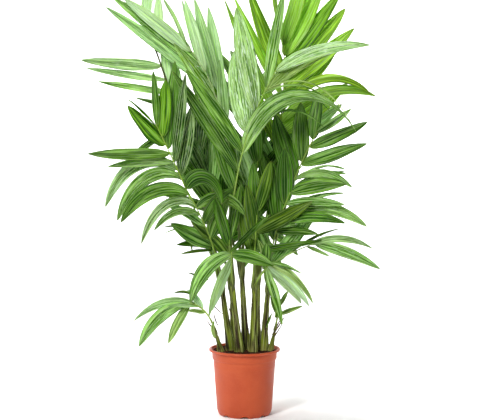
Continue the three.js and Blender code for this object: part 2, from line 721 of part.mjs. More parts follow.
/** Every frond, fused from its stalk and its leaflets. A leaflet is bent clear of all that is placed
 *  before it, and left out where nothing clears it, as on a crowded plant. */
function frondSolids() {
  const fronds = Object.values(FRONDS);
  const stalks = fronds.map((frond) => stalkSolid(frond));
  const keepOff = fronds.map((frond, index) => {
    const solid = stalkSolid(frond, CLEAR.margin);
    return { frond: index, solid, box: boxOf(toGeometry(solid)) };
  });
  Object.values(STEMS).forEach((stem) => {
    const solid = stemSolid(stem, CLEAR.margin);
    keepOff.push({ frond: -1, solid, box: boxOf(toGeometry(solid)) });
  });
  const placed = [];
  return fronds.map((frond, index) => {
    const axis = frondAxis(frond);
    const own = [];
    const stalk = keepOff[index];
    const others = [...keepOff, ...placed].filter((other) => other.frond !== index);
    for (const leaf of leafletPlan(frond, index)) {
      const geometry = placeLeaflet(axis, frond, leaf, [stalk, ...own], others);
      if (geometry) own.push({ frond: index, solid: toSolid(geometry), box: boxOf(geometry) });
    }
    placed.push(...own);
    return union([stalks[index], ...own.map((blade) => blade.solid)]);
  });
}

// ---- Materials and the finished plant ----

const MATERIALS = {
  plastic: new THREE.MeshStandardMaterial({ color: 0xcb6043, roughness: 0.55, metalness: 0 }),
  soil: new THREE.MeshStandardMaterial({ color: 0x2e1d15, roughness: 1, metalness: 0 }),
  stem: new THREE.MeshStandardMaterial({ color: 0x5f7330, roughness: 0.6, metalness: 0 }),
  leaf: new THREE.MeshStandardMaterial({ color: 0x4f9a2c, roughness: 0.45, metalness: 0 }),
};

function part(name, solid, material) {
  const mesh = new THREE.Mesh(toGeometry(solid), material);
  mesh.name = name;
  return mesh;
}

const palm = new THREE.Group();
palm.name = "potted_palm";
palm.add(part("pot", potSolid(), MATERIALS.plastic));
const standing = Object.values(STEMS).map((stem) => stemSolid(stem, FIT));
palm.add(part("soil", soilSolid(standing), MATERIALS.soil));
for (const [name, stem] of Object.entries(STEMS)) {
  const grown = Object.values(FRONDS).filter((frond) => frond.stem === name);
  const sockets = grown.map((frond) => stalkSolid(frond, FIT, true));
  const solid = sockets.reduce((whole, socket) => whole.subtract(socket), stemSolid(stem));
  palm.add(part("stem_" + name, solid, MATERIALS.stem));
}
const names = Object.keys(FRONDS);
frondSolids().forEach((solid, index) => palm.add(part("frond_" + names[index], solid, MATERIALS.leaf)));

export default palm;
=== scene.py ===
"""A feather-leaved palm in a plastic nursery pot: leaflets, stalks, stems, soil and pot as they look.

The tables hold millimetres and degrees, as the plant was drawn, and MM turns them into metres.
"""

import math
import random

import bmesh
import bpy
import numpy as np
from mathutils import Matrix, Vector, kdtree, noise


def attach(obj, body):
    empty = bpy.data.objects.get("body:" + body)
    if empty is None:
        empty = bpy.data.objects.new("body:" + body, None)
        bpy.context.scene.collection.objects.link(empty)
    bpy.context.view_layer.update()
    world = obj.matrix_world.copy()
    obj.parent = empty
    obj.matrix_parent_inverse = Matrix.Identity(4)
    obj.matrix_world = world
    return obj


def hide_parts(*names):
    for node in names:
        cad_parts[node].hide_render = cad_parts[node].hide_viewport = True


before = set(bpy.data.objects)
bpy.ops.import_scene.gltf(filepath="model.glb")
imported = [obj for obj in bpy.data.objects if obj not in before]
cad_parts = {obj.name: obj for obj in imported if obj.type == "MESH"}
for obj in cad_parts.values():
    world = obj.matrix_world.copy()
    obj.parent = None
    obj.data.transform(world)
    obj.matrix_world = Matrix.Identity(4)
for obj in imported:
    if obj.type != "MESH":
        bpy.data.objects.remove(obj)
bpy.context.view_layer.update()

MM = 0.001
UP = Vector((0, 0, 1))

# ---- The plant as it was drawn ----

# Stems: where each stands in the soil, which way and how far it leans, and its height above the soil.
STEMS = dict(
    left=dict(x=-46, y=4, azimuth=184, lean=8, height=204, radius=11),
    front_left=dict(x=-17, y=-26, azimuth=186, lean=6, height=229, radius=11),
    middle=dict(x=6, y=18, azimuth=150, lean=4, height=249, radius=11),
    front=dict(x=28, y=-26, azimuth=320, lean=2, height=214, radius=11),
    right=dict(x=64, y=6, azimuth=5, lean=4, height=194, radius=11),
    back=dict(x=42, y=50, azimuth=80, lean=5, height=219, radius=11),
    back_left=dict(x=-34, y=56, azimuth=115, lean=6, height=194, radius=11),
    low_left=dict(x=-80, y=-22, azimuth=186, lean=14, height=59, radius=8),
    low_right=dict(x=88, y=-4, azimuth=10, lean=12, height=69, radius=7),
)

# Fronds. Each grows from a seat on one side of its stem, keeps on along the stem for its rise, bends
# past a point and ends at its tip. Its flat side faces a compass direction and so many degrees up.
# Leaflets are rooted from one share of the stalk's length to another. For its left and right side,
# seen with the tip up, a row of leaflets: how many, and from the lowest to the highest their angle
# from the rachis, their length and how limply they hang. A row may have a leafed share and widths of
# its own, a lift out of the frond's plane, and a turn of its blades to the sky.
FRONDS = dict(
    centre=dict(
        stem="front_left", seat=40, rise=165, via=[-55, -75, 885], tip=[103, -112, 1161],
        face=[268, 0], leafed=[0.5, 0.97], width=[50],
        left=dict(
            count=6, sweep=[26, 39, 43, 27, 30, 14], width=[54, 48, 52, 84, 72, 42],
            length=[220, 410, 338, 292, 335, 316], hang=[0.1],
        ),
        right=dict(
            leafed=[0.62, 1], count=5, sweep=[6, 15, 14, 12, 24], width=[66, 22, 24, 50, 52],
            length=[515, 315, 300, 320, 320], hang=[2.8, 1.8, 1.7, 0.7, 0.6],
            lift=[0], turn=[1.2, 3, 3, 0.6, 0.6],
        ),
    ),
    low_front_left=dict(
        stem="front_left", seat=280, rise=40, via=[-46, -60, 520], tip=[-42, -98, 562],
        face=[270, 0], leafed=[0.7, 1], width=[50],
        left=dict(
            count=3, sweep=[160, 138, 116], width=[38, 46, 58],
            length=[200, 215, 240], hang=[0.1, 0.6, 1.3],
        ),
        right=dict(count=1, sweep=[90], width=[64], length=[145], hang=[0.3]),
    ),
    low_front_right=dict(
        stem="front", seat=300, rise=40, via=[70, -60, 490], tip=[82, -98, 528],
        face=[270, 0], leafed=[0.7, 1], width=[34],
        left=dict(count=1, sweep=[24], length=[110], hang=[0.1]),
        right=dict(
            count=6, sweep=[132, 125, 116, 99, 70, 58], width=[34, 40, 42, 38, 34, 18],
            length=[150, 200, 200, 195, 210, 130], hang=[0.1, 0.3, 0.4, 0.5, 0.9, 0.3],
        ),
    ),
    left=dict(
        stem="left", seat=210, rise=130, via=[-200, -95, 800], tip=[-290, -110, 985],
        face=[282, 0], leafed=[0.66, 1], width=[40],
        left=dict(
            leafed=[0.7, 1], count=7, sweep=[34, 29, 60, 64, 20, 85, 15],
            width=[46, 46, 32, 42, 82, 24, 38],
            length=[312, 338, 262, 330, 195, 150, 165], hang=[2.1, 2.3, 0.25, 0, 0, 0.6, 0.5],
        ),
        right=dict(
            leafed=[0.62, 1], count=6, sweep=[46, 31, 28, 28, 27, 23],
            width=[46, 54, 40, 46, 56, 32],
            length=[150, 260, 310, 285, 200, 190], hang=[2.8, 0, 0, 0, 0, 0],
        ),
    ),
    mid_left=dict(
        stem="left", seat=330, rise=60, via=[-105, -75, 620], tip=[-190, -135, 775],
        face=[288, 8], leafed=[0.55, 1], width=[40],
        left=dict(
            count=6, sweep=[36, 30, 22, 26, 30, 29], width=[60, 50, 28, 28, 32, 48],
            length=[195, 150, 170, 225, 295, 300], hang=[0, 0, 0.3, 1.3, 2.0, 1.3],
        ),
        right=dict(
            count=4, sweep=[34, 40, 70, 52], width=[52, 40, 44, 54],
            length=[170, 180, 190, 178], hang=[0.5, 1.0, 1.8, 3.0],
        ),
    ),
    inner_front=dict(
        stem="front_left", seat=160, rise=50, via=[-52, -45, 540], tip=[-50, -66, 600],
        face=[270, 0], leafed=[0.6, 1], width=[42],
        left=dict(count=2, sweep=[38, 16], length=[150, 190], hang=[0.3, 0.1]),
        right=dict(count=2, sweep=[40, 14], width=[20, 36], length=[225, 195], hang=[0.1, 0.1]),
    ),
    spear=dict(
        stem="front", seat=180, rise=60, via=[36, -55, 600], tip=[42, -62, 700],
        face=[265, 0], leafed=[0.46, 1], width=[50],
        left=dict(count=3, sweep=[18, 6], length=[200, 190], hang=[0]),
        right=dict(
            count=3, sweep=[77, 56, 10], width=[26, 56, 44], length=[225, 246, 190], hang=[0],
        ),
    ),
    mid_right=dict(
        stem="right", seat=240, rise=90, via=[90, -60, 620], tip=[150, -95, 760],
        face=[250, 0], leafed=[0.4, 1], width=[44],
        left=dict(count=4, sweep=[30, 18], width=[54, 60], length=[210, 205], hang=[0.1, 0.3]),
        right=dict(
            leafed=[0.62, 1], count=5, sweep=[58, 43, 42, 56, 44], width=[28, 36, 42, 32, 56],
            length=[170, 285, 300, 215, 222], hang=[0.3, 0.6, 0.9, 0.3, 0.4],
        ),
    ),
    low_right=dict(
        stem="front", seat=60, rise=60, via=[110, -60, 540], tip=[230, -100, 592],
        face=[256, 12], leafed=[0.5, 1], width=[40],
        left=dict(
            leafed=[0.5, 1.1], count=3, sweep=[16, 8, 4], width=[50, 10, 26],
            length=[245, 215, 240], hang=[0, 0.4, 0.7],
        ),
        right=dict(
            leafed=[0.86, 1.1], count=2, sweep=[34, 30], width=[14, 42],
            length=[95, 236], hang=[0.2, 0.3],
        ),
    ),
    right=dict(
        stem="right", seat=0, rise=120, via=[112, 5, 720], tip=[245, 30, 955],
        face=[256, 0], leafed=[0.56, 1], width=[50],
        left=dict(
            count=5, sweep=[38, 46, 40, 26, 16], width=[66, 44, 74, 62, 54],
            length=[246, 150, 240, 205, 160], hang=[0, 2.4, 0, 0, 0],
        ),
        right=dict(
            leafed=[0.66, 1], count=5, sweep=[26, 42, 48, 42, 26], width=[36, 34, 60, 56, 34],
            length=[226, 245, 245, 205, 135], hang=[1.0, 1.2, 0.1, 0, 0],
        ),
    ),
    low_left=dict(
        stem="low_left", seat=186, rise=50, via=[-140, -30, 395], tip=[-205, -36, 378],
        face=[270, 30], leafed=[0.5, 1], width=[30],
        left=dict(
            count=3, sweep=[30, 22, 56], width=[18, 24, 34],
            length=[70, 120, 150], hang=[0.3, 0.3, 0.6],
        ),
        right=dict(
            count=3, sweep=[20, 4, 2], lift=[0], width=[26, 32, 46],
            length=[85, 225, 205], hang=[0.5, 1.3, 1.1],
        ),
    ),
    small_right=dict(
        stem="low_right", seat=10, rise=30, via=[112, -5, 340], tip=[118, -10, 375],
        face=[275, 0], leafed=[0.5, 1], width=[16, 14],
        left=dict(count=1, sweep=[30], length=[80], hang=[0.2]),
        right=dict(count=2, sweep=[50, 16], length=[90, 60], hang=[0.1]),
    ),
    inner_left=dict(
        stem="middle", seat=140, rise=120, via=[-115, 20, 745], tip=[-155, 25, 890],
        face=[272, 0], leafed=[0.5, 1], width=[60],
        left=dict(count=4, sweep=[12, 4], length=[255, 235], hang=[0.05, 0]),
        right=dict(count=4, sweep=[30, 18], length=[250, 240], hang=[0]),
    ),
    top_left=dict(
        stem="middle", seat=260, rise=200, via=[-30, 40, 1070], tip=[-195, 50, 1242],
        face=[264, 0], leafed=[0.62, 1], width=[36],
        left=dict(
            count=5, sweep=[8, 19, 26, 18, 9], width=[58, 44, 42, 48, 46], lift=[14, 4, 3, 3, 3],
            length=[230, 265, 436, 372, 305], hang=[0.1],
        ),
        right=dict(
            leafed=[0.56, 1], count=4, sweep=[10, 10, 17, 12], width=[46, 42, 42, 42],
            length=[220, 220, 245, 215], hang=[0.05], lift=[14, 10, 8, 4],
        ),
    ),
    pale_fan=dict(
        stem="back_left", seat=300, rise=250, via=[-54, 104, 990], tip=[-85, 130, 1110],
        face=[272, 0], leafed=[0.7, 1], width=[38],
        left=dict(count=3, sweep=[15, 12, 6], width=[46], length=[470, 380, 250], hang=[0.05]),
        right=dict(count=1, sweep=[-3], width=[44], length=[325], hang=[0]),
    ),
    top_right=dict(
        stem="back", seat=330, rise=200, via=[150, 85, 980], tip=[132, 110, 1240],
        face=[284, 0], leafed=[0.52, 1], width=[56],
        left=dict(
            count=6, sweep=[38, 34, 42, 35, 24, 12], width=[58, 60, 72, 50, 80, 74],
            length=[305, 325, 490, 370, 355, 320], hang=[0],
        ),
        right=dict(
            leafed=[0.58, 1], count=10, sweep=[48, 44, 30, 26, 40, 44, 40, 38, 29, 16],
            width=[60, 66, 46, 40, 62, 60, 64, 60, 74, 70],
            length=[265, 285, 345, 345, 265, 300, 300, 310, 305, 300],
            hang=[0, 0, 1.3, 1.6, 0, 0, 0, 0, 0, 0],
        ),
    ),
    far_left=dict(
        stem="left", seat=90, rise=200, via=[-215, 130, 1000], tip=[-345, 175, 1340],
        face=[250, 0], leafed=[0.7, 1], width=[42],
        left=dict(
            leafed=[0.7, 0.86], count=4, sweep=[62, 62, 62, 64], width=[18, 28, 30, 44],
            length=[140, 270, 290, 290], hang=[0],
        ),
        right=dict(
            leafed=[0.62, 1], count=4, sweep=[10, 12, 16, 20],
            length=[230, 235, 215, 190], hang=[0.05], lift=[-10],
        ),
    ),
    back_right=dict(
        stem="right", seat=120, rise=130, via=[150, 150, 720], tip=[190, 330, 800],
        face=[250, 30], leafed=[0.44, 1], width=[50],
        left=dict(count=5, sweep=[50, 22], length=[270, 270], hang=[0.4, 0.6]),
        right=dict(count=5, sweep=[50, 22], length=[240, 250], hang=[0.6, 0.8]),
    ),
    back_middle=dict(
        stem="middle", seat=20, rise=170, via=[30, 150, 980], tip=[40, 320, 1090],
        face=[275, 30], leafed=[0.34, 1], width=[60],
        left=dict(count=6, sweep=[30, 36, 20], width=[78, 64], length=[300, 310, 250], hang=[0.2, 0.4]),
        right=dict(count=6, sweep=[30, 36, 20], length=[270, 290, 280], hang=[0.2, 0.4]),
    ),
    back_low=dict(
        stem="back", seat=90, rise=110, via=[50, 250, 680], tip=[60, 390, 560],
        face=[270, 60], leafed=[0.46, 1], width=[46, 40],
        left=dict(count=5, sweep=[60, 20], length=[250, 250], hang=[0.6, 0.5]),
        right=dict(count=5, sweep=[60, 20], length=[250, 250], hang=[0.6, 0.5]),
    ),
    back_left=dict(
        stem="back_left", seat=60, rise=150, via=[-110, 200, 800], tip=[-150, 370, 860],
        face=[290, 30], leafed=[0.46, 1], width=[52, 50],
        left=dict(count=4, sweep=[50, 20], length=[240, 260], hang=[0.5, 0.7]),
        right=dict(count=5, sweep=[50, 20], length=[270, 280], hang=[0.5, 0.7]),
    ),
    back_low_left=dict(
        stem="back_left", seat=180, rise=90, via=[-110, 120, 640], tip=[-130, 260, 600],
        face=[300, 60], leafed=[0.46, 1], width=[44, 40],
        left=dict(count=4, sweep=[60, 20], length=[180, 220], hang=[0.7, 0.5]),
        right=dict(count=4, sweep=[60, 20], length=[220, 240], hang=[0.7, 0.5]),
    ),
    inner_right=dict(
        stem="back", seat=210, rise=120, via=[34, 50, 720], tip=[46, 36, 905],
        face=[268, 0], leafed=[0.44, 1], width=[58],
        left=dict(count=3, sweep=[20, 8], length=[230, 215], hang=[0]),
        right=dict(count=3, sweep=[24, 10], length=[240, 220], hang=[0]),
    ),
)

SOIL_TOP = 217
STEM = dict(buried=60, taper=0.86, flare=1.4, cap=6)
STALK = dict(steps=9, radius=4.3, tip=1.6, seat=5.6, stout=10)

# How a leaflet stands and hangs, as in the plain solids
LEAFLET = dict(
    steps=20,  # equal steps in which its curve is walked
    fold=0.1,  # how far its edges lie below the midrib, as a share of its width
    rise=0.5,  # outline: how fast it widens from its root
    fall=0.7,  # outline: how fast it narrows to its tip
    lift=[10, 3],  # degrees out of the plane of the frond, at the lowest and at the highest
    scatter=4,  # degrees of natural spread in how it is set
    turn=[0.3],  # how far its flat side turns to the sky along its length
    tilt=14,  # degrees that each blade is turned about its midrib, like the slats of a blind
    root=0.7,  # how thick it is at its root, as a share of the rachis there
    stagger=0.4,  # how far the right row is rooted above the left one, in steps between leaflets
    uneven=dict(root=0.1, size=0.06, hang=0.2),  # natural spread of its place, size and sag
    sag=1.2,  # how strongly a leaflet that hangs bends down
    opening=0.25,  # share of its length in which it folds open from its root
    upright=0.2,  # below this sine to the vertical it no longer turns to the sky
    along=0.35,  # below this sine to the rachis its blade is set by the frond's plane
)

# The sets that a leaflet may have taken to clear its neighbours, in the order in which it tried them,
# and how near its tip then lies to a corner of the plain solid, in millimetres
SHARES = (1, 0.86, 0.7, 0.52)
SWEEPS = (0, 8, -8, 16, -16)
LIFTS = (0, 7, -7, 14, -14, 22, -22, 32, -32)
TIP_MATCH = 0.4

POT = dict(
    height=225, rim=120, inner=112, lip=8, round=3.2, collar=109.5, collar_foot=108.5,
    collar_bottom=190, body_top=105, body_low=92.5, low_height=18, foot=84.5, bevel=88.8,
    bevel_height=7, foot_inner=82, wall=2, floor=5, floor_thick=2.5, pad=22,
)
# Heights on the pot's wall, and how far each stands proud there: two faint rings under the collar
POT_RINGS = ((100, 0), (164, 0), (166, 0.5), (168, 0), (176, 0), (178, 0.5), (180, 0))
NOTCH = dict(count=8, width=26, height=7, depth=14)
DRAIN = dict(count=4, radius=6, circle=56, depth=30)

# ---- Colours, as a painter would name them ----


def paint(red, green, blue, alpha=1.0):
    """A colour given as it looks on a screen, from 0 to 255, in the light that the shaders work in."""
    def linear(value):
        share = value / 255
        return share / 12.92 if share <= 0.04045 else ((share + 0.055) / 1.055) ** 2.4
    return (linear(red), linear(green), linear(blue), alpha)


# Leaf greens, as their light streaks look: partly the leaflets' own greens, and partly lighter and
# darker copies that paint how lit or shaded a leaflet is. Then how silvery the veins are, which is
# painted sheen, and how deep the dark streaks, which are partly painted shade
TONES = dict(
    vivid=(paint(168, 214, 78), 0.70, 0.90),
    sunlit=(paint(190, 238, 84), 0.35, 0.50),
    spring=(paint(182, 226, 62), 0.25, 0.75),
    bright=(paint(134, 192, 34), 0.15, 1.0),
    fresh=(paint(124, 180, 58), 0.30, 1.0),
    mid=(paint(106, 158, 38), 0.28, 1.0),
    deep=(paint(80, 138, 24), 0.16, 1.0),
    dark=(paint(58, 114, 26), 0.52, 1.0),
    silver_sheen=(paint(172, 216, 140), 0.95, 0.78),
    soft=(paint(180, 220, 152), 0.60, 0.70),
    pale=(paint(220, 244, 204), 0.65, 0.38),
    faint=(paint(244, 254, 236), 0.60, 0.05),
    mint=(paint(156, 208, 100), 0.55, 0.95),
    lime=(paint(190, 218, 124), 0.40, 0.75),
    olive=(paint(112, 148, 36), 0.15, 1.0),
    sea=(paint(184, 214, 168), 0.65, 0.95),
)

# For each frond the tones of its left leaflets and of its right ones, from the lowest to the highest.
# Lighter tones go to leaflets in the light and darker ones to leaflets in shade, which paints light
# and shade over the leaflets' own greens.
LOOKS = dict(
    centre=(
        ["mid", "mid", "fresh", "silver_sheen", "silver_sheen", "mint"],
        ["mint", "fresh", "mint", "lime", "silver_sheen"],
    ),
    low_front_left=(["pale", "soft", "mint"], ["fresh"]),
    low_front_right=(["fresh"], ["olive", "mint", "pale", "pale", "lime", "mint"]),
    left=(
        ["mint", "sea", "mint", "fresh", "bright", "mid", "bright"],
        ["deep", "dark", "dark", "fresh", "bright", "fresh"],
    ),
    mid_left=(["fresh", "olive", "mint", "mint", "sea", "fresh"], ["mid", "deep", "mid", "deep"]),
    inner_front=(["olive", "deep"], ["mid", "mid"]),
    spear=(["olive", "olive", "fresh"], ["mid", "olive", "olive"]),
    mid_right=(["mint", "mid", "deep", "deep"], ["mid", "fresh", "mint", "mint", "fresh"]),
    low_right=(["mint", "mid", "soft"], ["mid", "mint"]),
    right=(["mid", "dark", "deep", "mid", "fresh"], ["mint", "mint", "fresh", "mid", "mint"]),
    low_left=(["lime", "soft", "lime"], ["pale", "soft", "mint"]),
    small_right=(["olive"], ["lime"]),
    inner_left=(["mid", "dark"], ["fresh", "mint", "dark", "dark"]),
    inner_right=(["mid", "sea", "deep"], ["mid"]),
    top_left=(["bright", "vivid", "soft", "mint", "pale"], ["soft", "soft", "pale", "soft"]),
    pale_fan=(["pale", "faint"], ["pale"]),
    top_right=(
        ["soft", "spring", "sunlit", "spring", "spring"],
        ["soft", "sunlit", "sunlit", "spring", "spring", "spring", "spring", "bright", "sunlit", "sunlit"],
    ),
    far_left=(["mid", "mint", "soft", "soft"], ["soft", "pale", "pale"]),
    back_right=(["deep"], ["mint"]),
    back_middle=(["mid"], ["deep"]),
    back_low=(["deep"], ["mid"]),
    back_left=(["mid"], ["deep"]),
    back_low_left=(["deep"], ["mid"]),
)

# ---- Small tools ----


def mix(a, b, share):
    return a + (b - a) * share


def clamped(value):
    return min(1.0, max(0.0, value))


def smooth(value):
    x = clamped(value)
    return x * x * (3 - 2 * x)


def scatter(frond, leaflet, use):
    """A fixed scatter from -1 to 1 for each frond, leaflet and use."""
    wave = math.sin(frond * 12.9898 + leaflet * 78.233 + use * 37.719) * 43758.5453
    return 2 * (wave - math.floor(wave)) - 1


def leaning(lean, azimuth):
    """The unit vector that leans so many degrees from the vertical towards a compass direction."""
    out, turn = math.sin(math.radians(lean)), math.radians(azimuth)
    return Vector((out * math.cos(turn), out * math.sin(turn), math.cos(math.radians(lean))))


def flattened(vector, axis):
    """The part of a vector that is square to an axis."""
    return vector - axis * (vector.dot(axis) / axis.length_squared)


def within(values, share):
    """The value at a share of the way along a list, in straight steps from each entry to the next."""
    if len(values) == 1:
        return values[0]
    at = clamped(share) * (len(values) - 1)
    i = min(len(values) - 2, int(at))
    return mix(values[i], values[i + 1], at - i)


def turn_at(j, count):
    """The turn, in radians, at which point j of a ring stands."""
    return (j + 0.5) / count * math.tau


def ring(centre, axis, radius, count, wobble=None):
    """A ring of points square to an axis. wobble(turn) scales its radius."""
    side = flattened(Vector((1, 0, 0)), axis).normalized()
    other = axis.cross(side)
    points = []
    for j in range(count):
        turn = turn_at(j, count)
        reach = radius * (wobble(turn) if wobble else 1)
        points.append(centre + side * reach * math.cos(turn) + other * reach * math.sin(turn))
    return points


def linked(name, data):
    """A new object in the scene."""
    made = bpy.data.objects.new(name, data)
    bpy.context.scene.collection.objects.link(made)
    return made


def mesh_from(name, shape, *materials):
    """A mesh from a shape, which is used up."""
    mesh = bpy.data.meshes.new(name)
    shape.to_mesh(mesh)
    shape.free()
    for material in materials:
        mesh.materials.append(material)
    return mesh


def smoothed(mesh):
    mesh.polygons.foreach_set("use_smooth", [True] * len(mesh.polygons))
    return mesh


class Surface:
    """Collects the skins of one piece. Each point carries its tone, its place in the grain, which is
    across and along the leaf or stalk in millimetres and a number of its own for each skin, and how
    deep the dark streaks, which are partly painted shade, are there."""

    def __init__(self):
        self.points, self.faces, self.finish = [], [], []
        self.tones, self.grain, self.depths = [], [], []

    def skin(self, rings, finish, tones, grain, depth=1):
        """A closed skin over rings of points. finish(j) is the finish of the strip after point j of a
        ring, tones(i, j) and grain(i, j) what that point carries. A last ring may be one point."""
        start, first = len(self.points), []
        for i, points in enumerate(rings):
            first.append(len(self.points))
            for j, point in enumerate(points):
                self.points.append(point * MM)
                self.tones.append(tones(i, j))
                self.grain.append(grain(i, j))
                self.depths.append(depth)
        count = len(rings[0])
        for i in range(len(rings) - 1):
            for j in range(count):
                k = (j + 1) % count
                a, b = first[i] + j, first[i] + k
                if len(rings[i + 1]) == 1:
                    self.faces.append((a, b, first[i + 1]))
                else:
                    self.faces.append((a, b, first[i + 1] + k, first[i + 1] + j))
                self.finish.append(finish(j))
        self.faces.append(tuple(reversed(range(start, start + count))))
        self.finish.append(finish(0))
        if len(rings[-1]) > 1:
            self.faces.append(tuple(range(first[-1], first[-1] + count)))
            self.finish.append(finish(0))

    def piece(self, name, materials):
        mesh = bpy.data.meshes.new(name)
        mesh.from_pydata([tuple(p) for p in self.points], [], self.faces)
        for material in materials:
            mesh.materials.append(material)
        mesh.polygons.foreach_set("material_index", self.finish)
        for label, kind, field, values in (
            ("tone", "FLOAT_COLOR", "color", self.tones),
            ("grain", "FLOAT_VECTOR", "vector", self.grain),
            ("depth", "FLOAT", "value", self.depths),
        ):
            made = mesh.attributes.new(label, kind, "POINT")
            made.data.foreach_set(field, np.array(values, np.float32).ravel())
        mesh.update()
        return linked(name, smoothed(mesh))


def settle(piece, slot, *nodes):
    """Puts a finished piece on the plant in the place of its plain solids."""
    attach(piece, "root")
    if nodes:
        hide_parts(*nodes)


# ---- Node groups that several finishes use ----


def feed(tree, socket, value):
    """Gives an input its value, or a link where the value comes out of another node."""
    if isinstance(value, bpy.types.NodeSocket):
        tree.links.new(value, socket)
    else:
        socket.default_value = value


def add(tree, kind, **values):
    """A node with its settings and, for names that start with a capital, the values of its inputs."""
    made = tree.nodes.new(kind)
    for name, value in values.items():
        if name[0].isupper():
            feed(tree, made.inputs[name.replace("_", " ")], value)
        else:
            setattr(made, name, value)
    return made


def math_node(tree, operation, *values, clamp=False):
    made = add(tree, "ShaderNodeMath", operation=operation, use_clamp=clamp)
    for socket, value in zip(made.inputs, values):
        feed(tree, socket, value)
    return made.outputs[0]


def blended(tree, factor, first, second, mode="MIX"):
    """A colour mixed from two, by a mask or a number."""
    made = add(tree, "ShaderNodeMix", data_type="RGBA", blend_type=mode)
    # The node has sockets of every kind: these are its factor and its two colours
    for number, value in ((0, factor), (6, first), (7, second)):
        feed(tree, made.inputs[number], value)
    return made.outputs[2]


def ranged(tree, value, low, high):
    """From 0 to 1, softly, as the value goes from low to high."""
    made = add(tree, "ShaderNodeMapRange", interpolation_type="SMOOTHSTEP", From_Min=low, From_Max=high)
    tree.links.new(value, made.inputs["Value"])
    return made.outputs[0]


FLOAT, VECTOR = "NodeSocketFloat", "NodeSocketVector"


def new_group(name, inputs, outputs):
    group = bpy.data.node_groups.new(name, "ShaderNodeTree")
    for label, kind, default in inputs:
        socket = group.interface.new_socket(label, in_out="INPUT", socket_type=kind)
        if default is not None:
            socket.default_value = default
    for label in outputs:
        group.interface.new_socket(label, in_out="OUTPUT", socket_type=FLOAT)
    return group, group.nodes.new("NodeGroupInput"), group.nodes.new("NodeGroupOutput")


# Between which values of the noise a broad streak and a fine vein come in
STREAK_EDGES = dict(Broad=(0.42, 0.63), Fine=(0.54, 0.63))
RIDGE_SHARPNESS = 14.0


def drawn_out(group, parts, given, width):
    """Noise drawn out along the grain into streaks, other ones on each skin."""
    across = math_node(group, "MULTIPLY", parts["X"], given[width])
    along = math_node(group, "MULTIPLY", parts["Y"], given["Stretch"])
    skin = math_node(group, "MULTIPLY", parts["Z"], 17.3)
    place = add(group, "ShaderNodeCombineXYZ", X=across, Y=along, Z=skin)
    streak = add(
        group, "ShaderNodeTexNoise", Vector=place.outputs[0], Scale=1.0, Detail=2.0, Roughness=0.5,
    )
    return ranged(group, streak.outputs["Fac"], *STREAK_EDGES[width])


def pleat_ridges(group, parts, given):
    """Thin lines at even distances, as on the crests of pleats, where a leaf gets painted highlights."""
    turn = math_node(group, "MULTIPLY", parts["X"], given["Ridge turn"])
    turn = math_node(group, "MULTIPLY_ADD", parts["Z"], 2.3, turn)
    crest = math_node(group, "ABSOLUTE", math_node(group, "SINE", turn))
    return math_node(group, "POWER", crest, RIDGE_SHARPNESS)


def fibre_group():
    """Streaks that run along a leaf, stalk or sheath: broad ones, fine veins, the evenly spaced ridges
    of the pleats, and their height. On leaves and sheaths the dark streaks also carry painted shade, and
    the veins and ridges carry painted highlights."""
    group, given, out = new_group(
        "Fibres along the grain",
        [
            ("Grain", VECTOR, None), ("Broad", FLOAT, 0.5), ("Fine", FLOAT, 2.0),
            ("Stretch", FLOAT, 0.02), ("Ridge turn", FLOAT, 0.4),
        ],
        ["Streaks", "Veins", "Ridges", "Height"],
    )
    parts = add(group, "ShaderNodeSeparateXYZ", Vector=given.outputs["Grain"]).outputs
    streaks = drawn_out(group, parts, given.outputs, "Broad")
    veins = drawn_out(group, parts, given.outputs, "Fine")
    ridges = pleat_ridges(group, parts, given.outputs)
    height = math_node(group, "MULTIPLY_ADD", streaks, 0.5, math_node(group, "MULTIPLY", veins, 0.5))
    for label, value in (("Streaks", streaks), ("Veins", veins), ("Ridges", ridges), ("Height", height)):
        group.links.new(value, out.inputs[label])
    return group


def mottle_group():
    """Soft blotches and fine specks over any surface."""
    group, given, out = new_group(
        "Mottle",
        [("Blotch size", FLOAT, 20.0), ("Speck size", FLOAT, 400.0)],
        ["Blotches", "Specks"],
    )
    place = group.nodes.new("ShaderNodeTexCoord").outputs["Object"]
    for size, label, low, high in (
        ("Blotch size", "Blotches", 0.35, 0.65), ("Speck size", "Specks", 0.45, 0.7),
    ):
        cloud = add(
            group, "ShaderNodeTexNoise", Vector=place, Scale=given.outputs[size], Detail=4.0,
            Roughness=0.55,
        )
        group.links.new(ranged(group, cloud.outputs["Fac"], low, high), out.inputs[label])
    return group


FIBRES = fibre_group()
MOTTLE = mottle_group()

# ---- Finishes ----

# What is painted over a leaf's own tone, from its deep streaks to the wax on its under side. The deep
# colour is painted shade in the grooves of the pleats over the leaf's own darker stripes, and the vein
# and dash colours are painted sheen
LEAF_STRIPE_AND_GROOVE_SHADE = (0.13, 0.27, 0.02, 1)
LEAF_VEIN_SHEEN = paint(208, 240, 162)
LEAF_SHEEN_DASH = paint(232, 250, 224)
LEAF_WORN = paint(170, 206, 40)
LEAF_WAX = paint(204, 230, 160)
STALK_GROOVE, STALK_SCURF = paint(176, 190, 110), paint(74, 52, 28)
# The sheath's dark fibre colour also paints the shade in the gaps between the sheaths, and its pale vein
# colour is partly painted highlight
SHEATH_FIBRE_AND_GAP_SHADE, SHEATH_VEIN_AND_HIGHLIGHT, SHEATH_WORN = paint(24, 16, 10), paint(204, 214, 132), paint(66, 60, 26)
DRY_DARK, DRY_LIGHT = paint(48, 36, 26), paint(104, 78, 52)
CLAY, CLAY_CLOUD, CLAY_DUST = paint(180, 73, 38), paint(188, 81, 44), paint(226, 160, 134)


